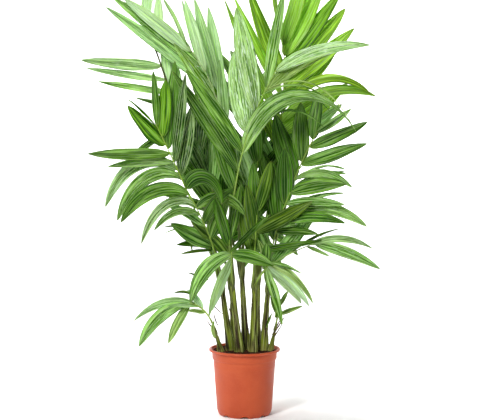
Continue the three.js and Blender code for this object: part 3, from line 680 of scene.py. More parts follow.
def new_finish(name, roughness, **values):
    """A material with its shader. Names with a capital set the shader's own inputs."""
    material = bpy.data.materials.new(name)
    material.use_nodes = True
    tree = material.node_tree
    shader = tree.nodes["Principled BSDF"]
    shader.inputs["Roughness"].default_value = roughness
    for label, value in values.items():
        shader.inputs[label.replace("_", " ")].default_value = value
    return material, tree, shader


def placed(tree, group, **values):
    """A node group with its own values, and its outputs."""
    return add(tree, "ShaderNodeGroup", node_tree=group, **values).outputs


def carried(tree, name):
    """What the points of a piece carry under this name."""
    return add(tree, "ShaderNodeAttribute", attribute_name=name).outputs


def raised(tree, shader, height, distance, strength=1.0):
    bump = add(tree, "ShaderNodeBump", Height=height, Strength=strength, Distance=distance)
    tree.links.new(bump.outputs["Normal"], shader.inputs["Normal"])


def sheen_dashes(tree, colour, grain, silver_sheen):
    """Painted sheen in pale dashes, close together on the most silvery leaves and none on the others."""
    dashes = placed(tree, FIBRES, Grain=grain, Broad=0.2, Fine=0.40, Stretch=0.036)
    share = math_node(tree, "MULTIPLY", dashes["Veins"], math_node(tree, "POWER", silver_sheen, 2.4))
    return blended(tree, share, colour, LEAF_SHEEN_DASH)


def leaf_colour(tree, fibres, grain, lift):
    """Light streaks on deep ones, the deep ones partly the leaf's own stripes and partly painted shade in
    the grooves of the pleats; silvery veins and ridges of painted sheen, pale dashes of painted sheen,
    and a little wear. lift is how much the wax pales it all."""
    tone = carried(tree, "tone")
    # The dark streaks: partly the leaf's own stripes, partly painted shade in the grooves of the pleats
    deep = blended(tree, carried(tree, "depth")["Fac"], tone["Color"], LEAF_STRIPE_AND_GROOVE_SHADE, "MULTIPLY")
    shade_streaked = blended(tree, fibres["Streaks"], deep, tone["Color"])
    # Painted highlights on the veins and on the crests of the pleats, as strong as the leaflet is silvery
    ridges = math_node(tree, "MULTIPLY", fibres["Ridges"], 0.8)
    lines = math_node(tree, "MAXIMUM", fibres["Veins"], ridges)
    silver_sheen = math_node(tree, "MULTIPLY", lines, tone["Alpha"])
    veins_and_highlights = blended(tree, math_node(tree, "MULTIPLY", silver_sheen, 1.3, clamp=True), shade_streaked, LEAF_VEIN_SHEEN)
    # Painted sheen in pale dashes
    sheened = sheen_dashes(tree, veins_and_highlights, grain, tone["Alpha"])
    mottle = placed(tree, MOTTLE, Blotch_size=14.0, Speck_size=260.0)
    worn = math_node(tree, "MULTIPLY", mottle["Blotches"], 0.04)
    return blended(tree, lift, blended(tree, worn, sheened, LEAF_WORN), LEAF_WAX)


def glowing(tree, shader, colour, glow):
    """Lets a share of the light come through."""
    through = add(tree, "ShaderNodeBsdfTranslucent", Color=colour)
    both = tree.nodes.new("ShaderNodeMixShader")
    both.inputs[0].default_value = glow
    tree.links.new(shader.outputs[0], both.inputs[1])
    tree.links.new(through.outputs[0], both.inputs[2])
    tree.links.new(both.outputs[0], tree.nodes["Material Output"].inputs["Surface"])


def leaf_finish(name, lift, roughness, glow):
    """Palm leaf: long pale streaks on its own tone between dark ones that are partly painted shade, fine
    veins with painted sheen, and a dull wax.
    """
    material, tree, shader = new_finish(name, roughness, Specular_IOR_Level=0.08)
    grain = carried(tree, "grain")["Vector"]
    fibres = placed(tree, FIBRES, Grain=grain, Broad=0.16, Fine=0.22, Stretch=0.007, Ridge_turn=0.36)
    colour = leaf_colour(tree, fibres, grain, lift)
    tree.links.new(colour, shader.inputs["Base Color"])
    rough = math_node(tree, "MULTIPLY_ADD", fibres["Veins"], 0.18, roughness - 0.06)
    tree.links.new(rough, shader.inputs["Roughness"])
    raised(tree, shader, fibres["Height"], 0.0014, 0.9)
    glowing(tree, shader, colour, glow)
    return material


def stalk_finish():
    """Leaf stalk: smooth green with pale grooves and a brown scurf."""
    material, tree, shader = new_finish("Stalk", 0.42, Specular_IOR_Level=0.2)
    grain = carried(tree, "grain")["Vector"]
    fibres = placed(tree, FIBRES, Grain=grain, Broad=0.35, Fine=1.4, Stretch=0.02)
    mottle = placed(tree, MOTTLE, Blotch_size=60.0, Speck_size=700.0)
    groove = math_node(tree, "MULTIPLY", fibres["Streaks"], 0.35)
    grooved = blended(tree, groove, carried(tree, "tone")["Color"], STALK_GROOVE)
    scurf = math_node(tree, "MULTIPLY", mottle["Specks"], 0.45)
    tree.links.new(blended(tree, scurf, grooved, STALK_SCURF), shader.inputs["Base Color"])
    raised(tree, shader, fibres["Height"], 0.0006, 0.5)
    return material


def sheath_finish():
    """Old leaf sheaths: olive green with dark fibres that fray into brown. The dark streaks also paint the
    shade in the gaps between the sheaths, and the pale veins are partly painted highlights.
    """
    material, tree, shader = new_finish("Leaf sheath", 0.6, Specular_IOR_Level=0.12)
    tone, grain = carried(tree, "tone"), carried(tree, "grain")["Vector"]
    fibres = placed(tree, FIBRES, Grain=grain, Broad=0.16, Fine=0.6, Stretch=0.006)
    mottle = placed(tree, MOTTLE, Blotch_size=30.0, Speck_size=500.0)
    # Dark fibres, which also paint the shade in the gaps between the sheaths
    brown = math_node(tree, "MULTIPLY", fibres["Streaks"], tone["Alpha"])
    shade_streaked = blended(tree, brown, tone["Color"], SHEATH_FIBRE_AND_GAP_SHADE)
    # Pale veins, partly painted highlights
    light = math_node(tree, "MULTIPLY", fibres["Veins"], 0.6)
    veins_and_highlights = blended(tree, light, shade_streaked, SHEATH_VEIN_AND_HIGHLIGHT)
    worn = math_node(tree, "MULTIPLY", mottle["Blotches"], 0.15)
    tree.links.new(blended(tree, worn, veins_and_highlights, SHEATH_WORN), shader.inputs["Base Color"])
    raised(tree, shader, fibres["Height"], 0.0012, 0.8)
    return material


def dry_finish():
    """Dead sheath ends and fibres."""
    material, tree, shader = new_finish("Dry sheath", 0.85)
    mottle = placed(tree, MOTTLE, Blotch_size=90.0, Speck_size=900.0)
    colour = blended(tree, mottle["Blotches"], DRY_DARK, DRY_LIGHT)
    tree.links.new(colour, shader.inputs["Base Color"])
    raised(tree, shader, mottle["Specks"], 0.0006, 0.6)
    return material


def soil_finish(name, dark, light):
    """Damp peat and bark, dark with a little rust."""
    material, tree, shader = new_finish(name, 0.95, Specular_IOR_Level=0.1)
    mottle = placed(tree, MOTTLE, Blotch_size=110.0, Speck_size=420.0)
    colour = blended(tree, mottle["Blotches"], dark, light)
    tree.links.new(blended(tree, mottle["Specks"], colour, dark), shader.inputs["Base Color"])
    raised(tree, shader, mottle["Specks"], 0.002, 1.0)
    return material


def pot_finish():
    """Moulded plastic the colour of fired clay, slightly clouded, with faint scuffs."""
    material, tree, shader = new_finish("Terracotta plastic", 0.5, Specular_IOR_Level=0.25)
    mottle = placed(tree, MOTTLE, Blotch_size=11.0, Speck_size=900.0)
    clouded = blended(tree, mottle["Blotches"], CLAY, CLAY_CLOUD)
    dusty = math_node(tree, "MULTIPLY", mottle["Specks"], 0.08)
    tree.links.new(blended(tree, dusty, clouded, CLAY_DUST), shader.inputs["Base Color"])
    rough = math_node(tree, "MULTIPLY_ADD", mottle["Blotches"], 0.12, 0.42)
    tree.links.new(rough, shader.inputs["Roughness"])
    raised(tree, shader, mottle["Specks"], 0.0002, 0.25)
    return material


LEAF_TOP = leaf_finish("Leaf, upper side", 0.0, 0.44, 0.36)
LEAF_UNDER = leaf_finish("Leaf, under side", 0.04, 0.60, 0.36)
STALK_SKIN = stalk_finish()
SHEATH_SKIN = sheath_finish()
DRY_SKIN = dry_finish()
SOIL_SKIN = soil_finish("Potting soil", paint(30, 18, 12), paint(72, 44, 28))
BARK_SKIN = soil_finish("Bark crumbs", paint(44, 24, 14), paint(104, 62, 40))
POT_SKIN = pot_finish()

# ---- Fronds ----


def stem_axis(stem):
    return leaning(stem["lean"], stem["azimuth"])


def stem_foot(stem):
    return Vector((stem["x"], stem["y"], SOIL_TOP))


def is_stout(name):
    return STEMS[name]["radius"] > STALK["stout"]


def frond_axis(frond):
    """Points and directions along a frond's stalk and rachis, from the top of its stem to its tip."""
    stem = STEMS[frond["stem"]]
    grown = stem_axis(stem)
    start = stem_foot(stem) + grown * stem["height"]
    if is_stout(frond["stem"]):
        start += flattened(leaning(90, frond["seat"]), grown).normalized() * STALK["seat"]
    corners = (start, start + grown * frond["rise"], Vector(frond["via"]), Vector(frond["tip"]))

    def at(share):
        left = 1 - share
        weights = (left ** 3, 3 * left * left * share, 3 * left * share * share, share ** 3)
        return sum((corner * weight for corner, weight in zip(corners, weights)), Vector())

    def heading(share):
        low, high = max(0.0, share - 0.0001), min(1.0, share + 0.0001)
        return (at(high) - at(low)).normalized()

    shares = [i / STALK["steps"] for i in range(STALK["steps"] + 1)]
    return dict(
        grown=grown, at=at, heading=heading,
        points=[at(share) for share in shares], tangents=[heading(share) for share in shares],
    )


def stalk_radius(share):
    return mix(STALK["radius"], STALK["tip"], share)


def leaflet_plan(frond, index):
    """Where each leaflet of a frond is rooted, on which side, and its natural size and set. The two
    sides are rooted half a step apart."""
    uneven, spread = LEAFLET["uneven"], LEAFLET["scatter"]
    plan = []
    for side in (-1, 1):
        row = frond["left"] if side < 0 else frond["right"]
        widths = row.get("width", frond["width"])
        for i in range(row["count"]):
            number = 2 * i + (side + 1) // 2
            rank = i / (row["count"] - 1) if row["count"] > 1 else 0
            start = (LEAFLET["stagger"] if side > 0 else 0) + uneven["root"] * scatter(index, number, 1)
            at = clamped((i + start) / (row["count"] - 0.5))
            share = mix(*row.get("leafed", frond["leafed"]), at)
            lift = within(row.get("lift", LEAFLET["lift"]), rank)
            plan.append(dict(
                number=number, side=side, share=share, rank=rank,
                root=LEAFLET["root"] * stalk_radius(share),
                length=within(row["length"], rank) * (1 + uneven["size"] * scatter(index, number, 2)),
                width=within(widths, rank) * (1 + uneven["size"] * scatter(index, number, 3)),
                sweep=within(row["sweep"], rank) + spread * scatter(index, number, 4),
                lift=lift + spread * scatter(index, number, 5),
                hang=within(row["hang"], rank) * (1 + uneven["hang"] * scatter(index, number, 6)),
                turn=within(row.get("turn", LEAFLET["turn"]), rank),
            ))
    return sorted(plan, key=lambda leaf: leaf["share"])


def leaflet_start(axis, frond, leaf):
    """A leaflet's root, the direction in which it sets out, and its blade's."""
    at = min(0.9999, leaf["share"]) * STALK["steps"]
    i = int(at)
    point = axis["points"][i].lerp(axis["points"][i + 1], at - i)
    tangent = axis["tangents"][i].lerp(axis["tangents"][i + 1], at - i).normalized()
    across = tangent.cross(leaning(90 - frond["face"][1], frond["face"][0])).normalized()
    above = across.cross(tangent)
    sweep, lift, side = math.radians(leaf["sweep"]), math.radians(leaf["lift"]), leaf["side"]
    direction = tangent * math.cos(sweep) + across * (side * math.sin(sweep) * math.cos(lift))
    direction = (direction + above * math.sin(lift)).normalized()
    blade = flattened(tangent * side, direction)
    if blade.length < LEAFLET["along"]:
        blade -= across
    blade = flattened(blade, direction).normalized()
    blade.rotate(Matrix.Rotation(-side * math.radians(LEAFLET["tilt"]), 3, direction))
    return point + across * (0.5 * side * leaf["root"]), direction, blade


def leaflet_curve(axis, frond, leaf):
    """A leaflet's midrib, walked from its root in equal steps, as (centre, blade, normal) at each: it
    sags more and more towards its tip, and its flat side turns a little to the sky."""
    centre, direction, blade = leaflet_start(axis, frond, leaf)
    steps = LEAFLET["steps"]
    curve = []
    for _ in range(steps + 1):
        blade = flattened(blade, direction).normalized()
        level = UP.cross(direction)
        if level.length > LEAFLET["upright"]:
            level = level.normalized() * (-1 if level.dot(blade) < 0 else 1)
            blade = flattened(blade.lerp(level, leaf["turn"] / steps), direction).normalized()
        curve.append((centre.copy(), blade.copy(), direction.cross(blade)))
        centre = centre + direction * (leaf["length"] / steps)
        direction = (direction - UP * (LEAFLET["sag"] * leaf["hang"] / steps)).normalized()
    return curve


def half_width(leaf, u):
    """Half a leaflet's width at a share of its length: it leaves the rachis narrow."""
    rise, fall = LEAFLET["rise"], LEAFLET["fall"]
    widest = rise / (rise + fall)
    share = (u / widest) ** rise * ((1 - u) / (1 - widest)) ** fall
    return max(leaf["root"] * (1 - u), leaf["width"] / 2 * share)


def tries(leaf):
    """The sets of length, width, sweep and lift that a leaflet tried, one after another."""
    for share in SHARES:
        for sweep in SWEEPS:
            for lift in LIFTS:
                yield dict(
                    leaf, length=leaf["length"] * share, width=leaf["width"] * math.sqrt(share),
                    sweep=leaf["sweep"] + sweep, lift=leaf["lift"] + lift,
                )


def set_as_grown(axis, frond, leaf, corners):
    """The set that this leaflet took in the plain solid, found by its tip's place, and its curve. A
    leaflet that found no room there has none."""
    for tried in tries(leaf):
        curve = leaflet_curve(axis, frond, tried)
        if corners.find(curve[-1][0])[2] < TIP_MATCH:
            return tried, curve
    return None


def corners_of(node):
    """A tree of a plain solid's corners, in millimetres."""
    points = [v.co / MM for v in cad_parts[node].data.vertices]
    tree = kdtree.KDTree(len(points))
    for i, point in enumerate(points):
        tree.insert(point, i)
    tree.balance()
    return tree


# Where a leaflet's surface is worked out: shares of its length, and of its half width
ALONG = (0, 0.025, 0.05, *(i / 20 for i in range(2, 20)), 0.975, 0.99, 1)
HALF_ACROSS = (1, 0.9, 0.79, 0.67, 0.55, 0.43, 0.31, 0.19, 0.08)
ACROSS = (*HALF_ACROSS, 0, *(-v for v in reversed(HALF_ACROSS)))

# A leaflet's blade in millimetres: its thickness and rib, its pleats, which take up one zigzag every
# four places across, and the waves of its edges, so many along its length. Pleats and waves stand in
# full where the blade is broad, and each blade's differ.
BLADE = dict(
    thick=0.36, rib=0.45, rib_width=1.8, zigzag=(0, 1, 0, -1), pleat=1.8, pleat_spread=0.5,
    wave=1.2, waves=1.6, wave_start=6.3, broad=9,
)

# Which of a frond's finishes its upper sides, under sides and stalk have
UPPER, UNDER, STALK_PART = 0, 1, 2

# How a leaflet's tone changes along it: how much lighter it gets, how dry its tip is from a share of
# its length on, and how pale its root is up to a share of it
LEAF_FADE = dict(lighter=0.10, middle=0.4, dry=0.6, dry_from=0.965, pale=0.55, pale_to=0.12)
TIP_BROWN = paint(158, 132, 66)[:3]
ROOT_GREEN = paint(150, 182, 70)[:3]


def blade_ring(leaf, curve, u, pleat, phase):
    """One section of a blade: folded down to its edges and pleated, with a midrib and waved edges."""
    steps = LEAFLET["steps"]
    i = min(steps - 1, int(u * steps))
    centre, blade, normal = (p.lerp(q, u * steps - i) for p, q in zip(curve[i], curve[i + 1]))
    blade, normal = blade.normalized(), normal.normalized()
    if u == 1:
        return [centre]
    half = half_width(leaf, u)
    opened = u / LEAFLET["opening"]
    full = smooth(opened - 0.2) * min(1.0, half / BLADE["broad"])
    top, under = [], []
    for n, v in enumerate(ACROSS):
        fold = -2 * half * LEAFLET["fold"] * smooth(opened - 0.5) * abs(v)
        zigzag = pleat * full * BLADE["zigzag"][n % 4] * (1 - v ** 4)
        wave = BLADE["wave"] * full * abs(v) ** 1.5 * math.sin(math.tau * BLADE["waves"] * u + phase + v)
        rib = BLADE["rib"] * math.exp(-((v * half / BLADE["rib_width"]) ** 2)) * (1 - u)
        height = fold + zigzag + wave
        at = centre + blade * (half * v)
        top.append(at + normal * (height + rib + BLADE["thick"] / 2))
        under.append(at + normal * (height - rib - BLADE["thick"] / 2))
    edge_in = 0.5 * (top[0] + under[0])
    edge_out = 0.5 * (top[-1] + under[-1])
    return [edge_in, *top[1:-1], edge_out, *reversed(under[1:-1])]


def leaflet_tone(tone, u):
    """A leaflet's tone at a share of its length: pale at its root and dry at its tip."""
    fade = LEAF_FADE
    dry = smooth((u - fade["dry_from"]) / (1 - fade["dry_from"])) * fade["dry"]
    root = 1 - smooth(u / fade["pale_to"])
    shade = [c * (1 + fade["lighter"] * (u - fade["middle"])) for c in tone[:3]]
    shade = [mix(c, d, dry) for c, d in zip(shade, TIP_BROWN)]
    shade = [mix(c, d, fade["pale"] * root) for c, d in zip(shade, ROOT_GREEN)]
    return (*shade, tone[3])


def grow_leaflet(surface, leaf, curve, tone, depth, index):
    """One pleated blade on its curve, ending in a fine point."""
    number, count = leaf["number"], len(ACROSS)
    phase = BLADE["wave_start"] * scatter(index, number, 11)
    pleat = BLADE["pleat"] * (1 + BLADE["pleat_spread"] * scatter(index, number, 12))
    rings = [blade_ring(leaf, curve, u, pleat, phase) for u in ALONG]
    skin = index * 40 + number

    def grain(i, j):
        if ALONG[i] == 1:
            return (0, leaf["length"], skin)
        v = ACROSS[j] if j < count else ACROSS[2 * count - 2 - j]
        return (v * leaf["width"] / 2, ALONG[i] * leaf["length"], skin)

    def tones(i, _):
        return leaflet_tone(tone, ALONG[i])

    surface.skin(rings, lambda j: UPPER if j < count - 1 else UNDER, tones, grain, depth)


# The stalk's green from its foot up: darker at the foot, partly its own olive and partly painted shade
# where it comes out among the stems
STALK_FOOT_OLIVE_AND_SHADE = paint(62, 72, 22)
STALK_HIGH = paint(142, 172, 66)
STALK_BARK = paint(42, 44, 26)

# How dark and brown a frond's stalk is, from 0 to 1, where it isn't green
STALK_DARK = dict(far_left=1.0, inner_left=0.6, right=0.3, back_left=0.7, back_low_left=0.6)

# The sheath at the stalk's foot, in millimetres: how much thicker it is at a stout stem and at a young
# one, how deep it is hidden in the stem, the share of the frond along which it narrows, and how much
# bark adds to a dark stalk
SLEEVE = dict(stout=3.6, young=2.2, hidden=26, share=0.3, bark=1.3)
STALK_SKIN_STEPS, STALK_SIDES = 40, 12


def grow_stalk(surface, name, axis, index, tone):
    """The stalk, clasped by its sheath at the foot, and the rachis that the leaflets stand on."""
    steps, sides = STALK_SKIN_STEPS, STALK_SIDES
    sleeve = SLEEVE["stout" if is_stout(FRONDS[name]["stem"]) else "young"]
    dark = STALK_DARK.get(name, 0)

    def radius(share):
        """The sheath swells up out of the stem and then narrows into the stalk."""
        clasp = sleeve * smooth(0.35 + share / 0.05) * (1 - smooth(share / SLEEVE["share"]))
        return stalk_radius(share) + clasp + SLEEVE["bark"] * dark

    foot = axis["points"][0] - axis["grown"] * SLEEVE["hidden"]
    rings = [ring(foot, axis["grown"], STALK["radius"] * 0.5, sides)]
    for i in range(steps + 1):
        share = i / steps
        rings.append(ring(axis["at"](share), axis["heading"](share), radius(share), sides))
    length = (axis["points"][-1] - axis["points"][0]).length

    def tones(i, _):
        share = max(0, i - 1) / steps
        # Darker at the foot: partly its own olive, partly painted shade among the stems
        green = mix(np.array(STALK_FOOT_OLIVE_AND_SHADE), np.array(STALK_HIGH), smooth(share * 1.8))
        green = mix(green, np.array([*tone[:3], 1]), 0.35 * smooth(share * 1.5))
        return tuple(mix(green, np.array(STALK_BARK), dark))

    def grain(i, j):
        turn = turn_at(j, sides)
        return (6 * math.sin(turn), max(0, i - 1) / steps * length, index + 0.5 + math.cos(turn) * 0.1)

    surface.skin(rings, lambda _: STALK_PART, tones, grain)


def leaflet_look(name, leaf, index):
    """A leaflet's tone, with a little natural spread, and how deep its dark streaks are. The tone is
    lighter or darker as the leaflet is lit or shaded, which paints light and shade.
    """
    names = LOOKS[name][0 if leaf["side"] < 0 else 1]
    near, silver_sheen, depth = TONES[names[round(leaf["rank"] * (len(names) - 1))]]
    light = 1 + 0.08 * scatter(index, leaf["number"], 13)
    warm = 1 + 0.05 * scatter(index, leaf["number"], 14)
    return (near[0] * light * warm, near[1] * light, near[2] * light / warm, silver_sheen), depth


def grow_frond(name, index):
    frond = FRONDS[name]
    axis = frond_axis(frond)
    corners = corners_of("frond_" + name)
    surface = Surface()
    highest_left = TONES[LOOKS[name][0][-1]][0]
    grow_stalk(surface, name, axis, index, highest_left)
    for leaf in leaflet_plan(frond, index):
        found = set_as_grown(axis, frond, leaf, corners)
        if found:
            grow_leaflet(surface, *found, *leaflet_look(name, leaf, index), index)
    piece = surface.piece("leaves_" + name, [LEAF_TOP, LEAF_UNDER, STALK_SKIN])
    settle(piece, "palm_leaf", "frond_" + name)


# ---- Stems ----

# How brown each stem's old sheaths are, from 0 to 1: partly their own brown and partly painted shade,
# most on the stems in the middle and at the back, among the others
STEM_BROWN_AND_SHADE = dict(
    left=0.35, front_left=0.45, middle=1.0, front=0.4, right=0.55, back=0.95, back_left=0.8,
    low_left=0.6, low_right=0.5,
)
# A stem's sheaths, in millimetres: how thick each is, how far its rim slants on a stem of the usual
# radius, and the shallow ridges round it
SHEATH = dict(sides=28, step=5, layers=4, thick=0.9, slant=34, usual=13, ridges=9, ridge=0.022)
STEM_OLIVE = paint(122, 138, 38)
STEM_BARK = paint(46, 28, 22)
STEM_FOOT = paint(158, 156, 80)


def sheath_rims(name, index):
    """For each sheath from the outermost in: where its rim is highest, and how brown it is. The brown is
    partly painted shade, and the inner sheaths, higher up under the fronds, keep most of it.
    """
    rims = []
    for k in range(SHEATH["layers"]):
        brown = STEM_BROWN_AND_SHADE[name] * (1.1 - 0.12 * k) + 0.15 * scatter(index, k, 23)
        rims.append(dict(
            top=STEMS[name]["height"] * (0.16 + 0.24 * k + 0.05 * scatter(index, k, 21)),
            turn=2.4 * k + scatter(index, k, 22),
            brown=clamped(brown),
        ))
    return rims


def stem_tone(name, index, over, z, turn):
    """A stem's tone at a height and turn: olive, browner in patches, and pale at the soil. The brown is
    partly painted shade, and above its last sheath the stem is painted brown too, as shade under the
    fronds. over are the sheaths that wrap it there."""
    # Above its last sheath the stem is painted brown as shade under the fronds
    brown = over[0]["brown"] if over else 0.6 * STEM_BROWN_AND_SHADE[name]
    patch = noise.noise(Vector((1.4 * math.cos(turn), 1.4 * math.sin(turn), z / 70 + 5 * index)))
    brown = clamped(brown + 1.5 * patch)
    colour = [mix(a, b, brown) for a, b in zip(STEM_OLIVE[:3], STEM_BARK[:3])]
    pale = 0.75 * (1 - smooth(z / (24 + 14 * math.sin(turn + index))))
    colour = [mix(a, b, pale) for a, b in zip(colour, STEM_FOOT[:3])]
    # The alpha sets how strong the dark streaks are, which also paint the shade between the sheaths
    return (*colour, 0.55 + 0.45 * brown)


def grow_stem(name, index):
    """A stem of overlapping leaf sheaths, each rim slanting round it, swollen and pale at the soil."""
    stem, rims = STEMS[name], sheath_rims(name, index)
    axis, foot = stem_axis(stem), stem_foot(stem)
    height, base, sides = stem["height"], stem["radius"], SHEATH["sides"]
    places = [-STEM["buried"], -8]
    places += [i * SHEATH["step"] for i in range(int(height / SHEATH["step"]) + 1)]
    places += [height, height + STEM["cap"]]

    def covering(z, turn):
        """The sheaths that still wrap the stem here."""
        slant = SHEATH["slant"] * base / SHEATH["usual"]
        return [r for r in rims if z < r["top"] + slant * math.cos(turn - r["turn"])]

    def radius(z, turn):
        share = clamped(z / height)
        swell = mix(STEM["flare"], 1, smooth(share * 2.5))
        plain = base * mix(1, STEM["taper"], share) * swell - 1.6
        ridge = 1 + SHEATH["ridge"] * math.sin(SHEATH["ridges"] * turn + 3 * index + z / 60)
        close = 1 - 0.35 * smooth((z - height + 14) / 20)
        return (plain * ridge + SHEATH["thick"] * len(covering(z, turn))) * close

    def tones(i, j):
        turn = turn_at(j, sides)
        return stem_tone(name, index, covering(places[i], turn), places[i], turn)

    def grain(i, j):
        turn = turn_at(j, sides)
        return (base * math.sin(turn), places[i], index + 0.3 * math.cos(turn))

    rings = [ring(foot + axis * z, axis, 1, sides, lambda turn, z=z: radius(z, turn)) for z in places]
    surface = Surface()
    surface.skin(rings, lambda _: 0, tones, grain)
    settle(surface.piece("sheaths_" + name, [SHEATH_SKIN]), "palm_stem", "stem_" + name)


# ---- Small dry and young bits ----

# Dead fibres and sheath ends, and a few young leaf tips: the foot, a point that it bends past, the tip
# and the width in millimetres, and the leaf green, or None for a dry one.
SLIVERS = (
    ([92, -3, 262], [112, -14, 300], [142, -26, 345], 5.5, None),
    ([92, -3, 250], [110, -16, 282], [132, -26, 320], 4.5, None),
    ([92, -2, 268], [118, -4, 318], [130, -2, 336], 4.5, None),
    ([-72, 2, 340], [-98, -8, 360], [-122, -12, 394], 4.5, None),
    ([-34, -18, 312], [-44, -30, 350], [-58, -32, 378], 4.5, None),
    ([-88, 0, 300], [-100, -4, 322], [-104, -12, 352], 5.0, None),
    ([-94, -18, 285], [-112, -30, 300], [-128, -40, 330], 5.5, None),
    ([66, -58, 500], [74, -84, 552], [44, -76, 602], 30, "lime"),
    ([-160, -72, 640], [-182, -80, 600], [-171, -76, 553], 10, "olive"),
    ([-110, -30, 560], [-160, -60, 566], [-216, -62, 550], 14, "olive"),
    ([-168, -32, 408], [-200, -38, 432], [-240, -42, 416], 12, "olive"),
    ([-120, -44, 462], [-160, -52, 482], [-192, -62, 490], 9, "olive"),
    ([104, -8, 330], [118, -14, 372], [112, -22, 412], 16, "lime"),
    ([72, -30, 300], [84, -40, 330], [92, -42, 352], 10, "olive"),
    ([-98, -20, 262], [-112, -36, 296], [-100, -40, 328], 15, "lime"),
    ([69, -102, 1096], [237, -160, 1195], [354, -165, 975], 7, "lime"),
    ([64, -101, 1088], [198, -160, 1162], [308, -165, 1027], 7, "lime"),
    ([60, -100, 1080], [166, -160, 1150], [263, -165, 1072], 6, "mint"),
)
SLIVER = dict(steps=14, sides=6, thick=0.5, thicker=0.06, keel=0.35, silver_sheen=0.2, skin=2000)
TIP_DRY = paint(88, 64, 42)


def sliver_ring(foot, bend, tip, width, u):
    """One section of a sliver at a share of its length. It is broadest near its foot."""
    centre = foot.lerp(bend, u).lerp(bend.lerp(tip, u), u)
    heading = (bend.lerp(tip, u) - foot.lerp(bend, u)).normalized()
    across = heading.cross(Vector((0.3, 1, 0))).normalized()
    above = across.cross(heading)
    half = width / 2 * (0.4 + 2.2 * u) * (1 - u) ** 0.9 * 1.2
    thick = SLIVER["thick"] + SLIVER["thicker"] * width
    points = []
    for j in range(SLIVER["sides"]):
        turn = turn_at(j, SLIVER["sides"])
        keel = -SLIVER["keel"] * half * abs(math.cos(turn))
        rise = thick / 2 * math.sin(turn) + keel
        points.append(centre + across * half * math.cos(turn) + above * rise)
    return points


def grow_sliver(surface, foot, bend, tip, width, tone, index):
    """A small keeled blade on a bent line, ending in a point."""
    steps = SLIVER["steps"]
    foot, bend, tip = Vector(foot), Vector(bend), Vector(tip)
    rings = [sliver_ring(foot, bend, tip, width, i / steps) for i in range(steps)]
    rings.append([tip])
    length = (tip - foot).length
    carried_tone = (*tone[:3], SLIVER["silver_sheen"]) if tone else TIP_DRY

    def grain(i, j):
        across = width / 2 * math.cos(turn_at(j, SLIVER["sides"]))
        return (across, i / steps * length, SLIVER["skin"] + index)

    surface.skin(rings, lambda _: 0 if tone else 1, lambda i, j: carried_tone, grain)


def make_slivers():
    surface = Surface()
    for index, (foot, bend, tip, width, name) in enumerate(SLIVERS):
        tone = TONES[name][0] if name else None
        grow_sliver(surface, foot, bend, tip, width, tone, index)
    settle(surface.piece("small_tips", [LEAF_TOP, DRY_SKIN]), "palm_leaf")


# ---- The pot ----


def pot_outside(p):
    """The pot's section from its floor's middle out and up to the underside of its rim."""
    points = [
        (0, 0), (p["pad"], 0), (p["pad"] + 4, p["floor"]), (p["foot_inner"] - 3, p["floor"]),
        (p["foot_inner"], 0), (p["foot"] - 0.8, 0), (p["foot"], 0.6),
        (p["bevel"] - 0.6, p["bevel_height"] - 1), (p["bevel"], p["bevel_height"]),
        (p["body_low"] - 0.4, p["low_height"] - 1.2), (p["body_low"], p["low_height"]),
    ]
    for height, proud in POT_RINGS:
        share = (height - p["low_height"]) / (p["collar_bottom"] - p["low_height"])
        points.append((mix(p["body_low"], p["body_top"], share) + proud, height))
    return points + [
        (p["body_top"], p["collar_bottom"] - 2), (p["body_top"] + 0.6, p["collar_bottom"] - 1),
        (p["collar_foot"] - 0.5, p["collar_bottom"] + 0.5),
        (p["collar_foot"], p["collar_bottom"] + 1.5),
        (p["collar"], p["height"] - p["lip"] - 2), (p["collar"] + 1, p["height"] - p["lip"] - 1),
        (p["rim"] - 3, p["height"] - p["lip"] - 0.4),
    ]


def pot_lip(p):
    """The round of the rolled rim, from below it to its top: flatter below than above."""
    points = []
    for i in range(9):
        turn = math.radians(-70 + 160 * i / 8)
        reach = 0.6 * p["lip"] - 0.2 if i > 3 else 0.38 * p["lip"]
        points.append((
            p["rim"] - p["round"] + p["round"] * math.cos(turn),
            p["height"] - 0.6 * p["lip"] + reach * math.sin(turn),
        ))
    return points


def pot_inside(p):
    """From the rim's inner edge down the wall and over the floor to its middle."""
    floor_top = p["floor"] + p["floor_thick"]
    return [
        (p["inner"] + 2, p["height"]), (p["inner"], p["height"] - 1),
        (p["inner"] - 2.2, p["height"] - p["lip"]),
        (p["collar"] - p["wall"], p["height"] - p["lip"] - 2),
        (p["collar_foot"] - p["wall"], p["collar_bottom"] + 2),
        (p["body_top"] - p["wall"], p["collar_bottom"] - 2),
        (p["body_low"] - p["wall"], p["low_height"]), (p["bevel"] - p["wall"] - 2, floor_top),
        (p["pad"] + 2, floor_top), (p["pad"] - 2, p["floor_thick"]), (0, p["floor_thick"]),
    ]


def turned(profile, sides):
    """A closed shape turned about the vertical axis from (radius, height) points."""
    shape = bmesh.new()
    columns = []
    for i in range(sides):
        turn = i / sides * math.tau
        column = []
        for r, z in profile:
            # On the axis itself only the first column has a point, and the others share it
            place = (r * MM * math.cos(turn), r * MM * math.sin(turn), z * MM)
            column.append(shape.verts.new(place) if r > 0 or i == 0 else None)
        columns.append(column)
    for i in range(sides):
        a, b = columns[i], columns[(i + 1) % sides]
        for j in range(len(profile) - 1):
            corners = []
            for column, k in ((a, j), (b, j), (b, j + 1), (a, j + 1)):
                vertex = column[k] or columns[0][k]
                if vertex not in corners:
                    corners.append(vertex)
            if len(corners) > 2:
                shape.faces.new(corners)
    bmesh.ops.recalc_face_normals(shape, faces=shape.faces)
    return shape


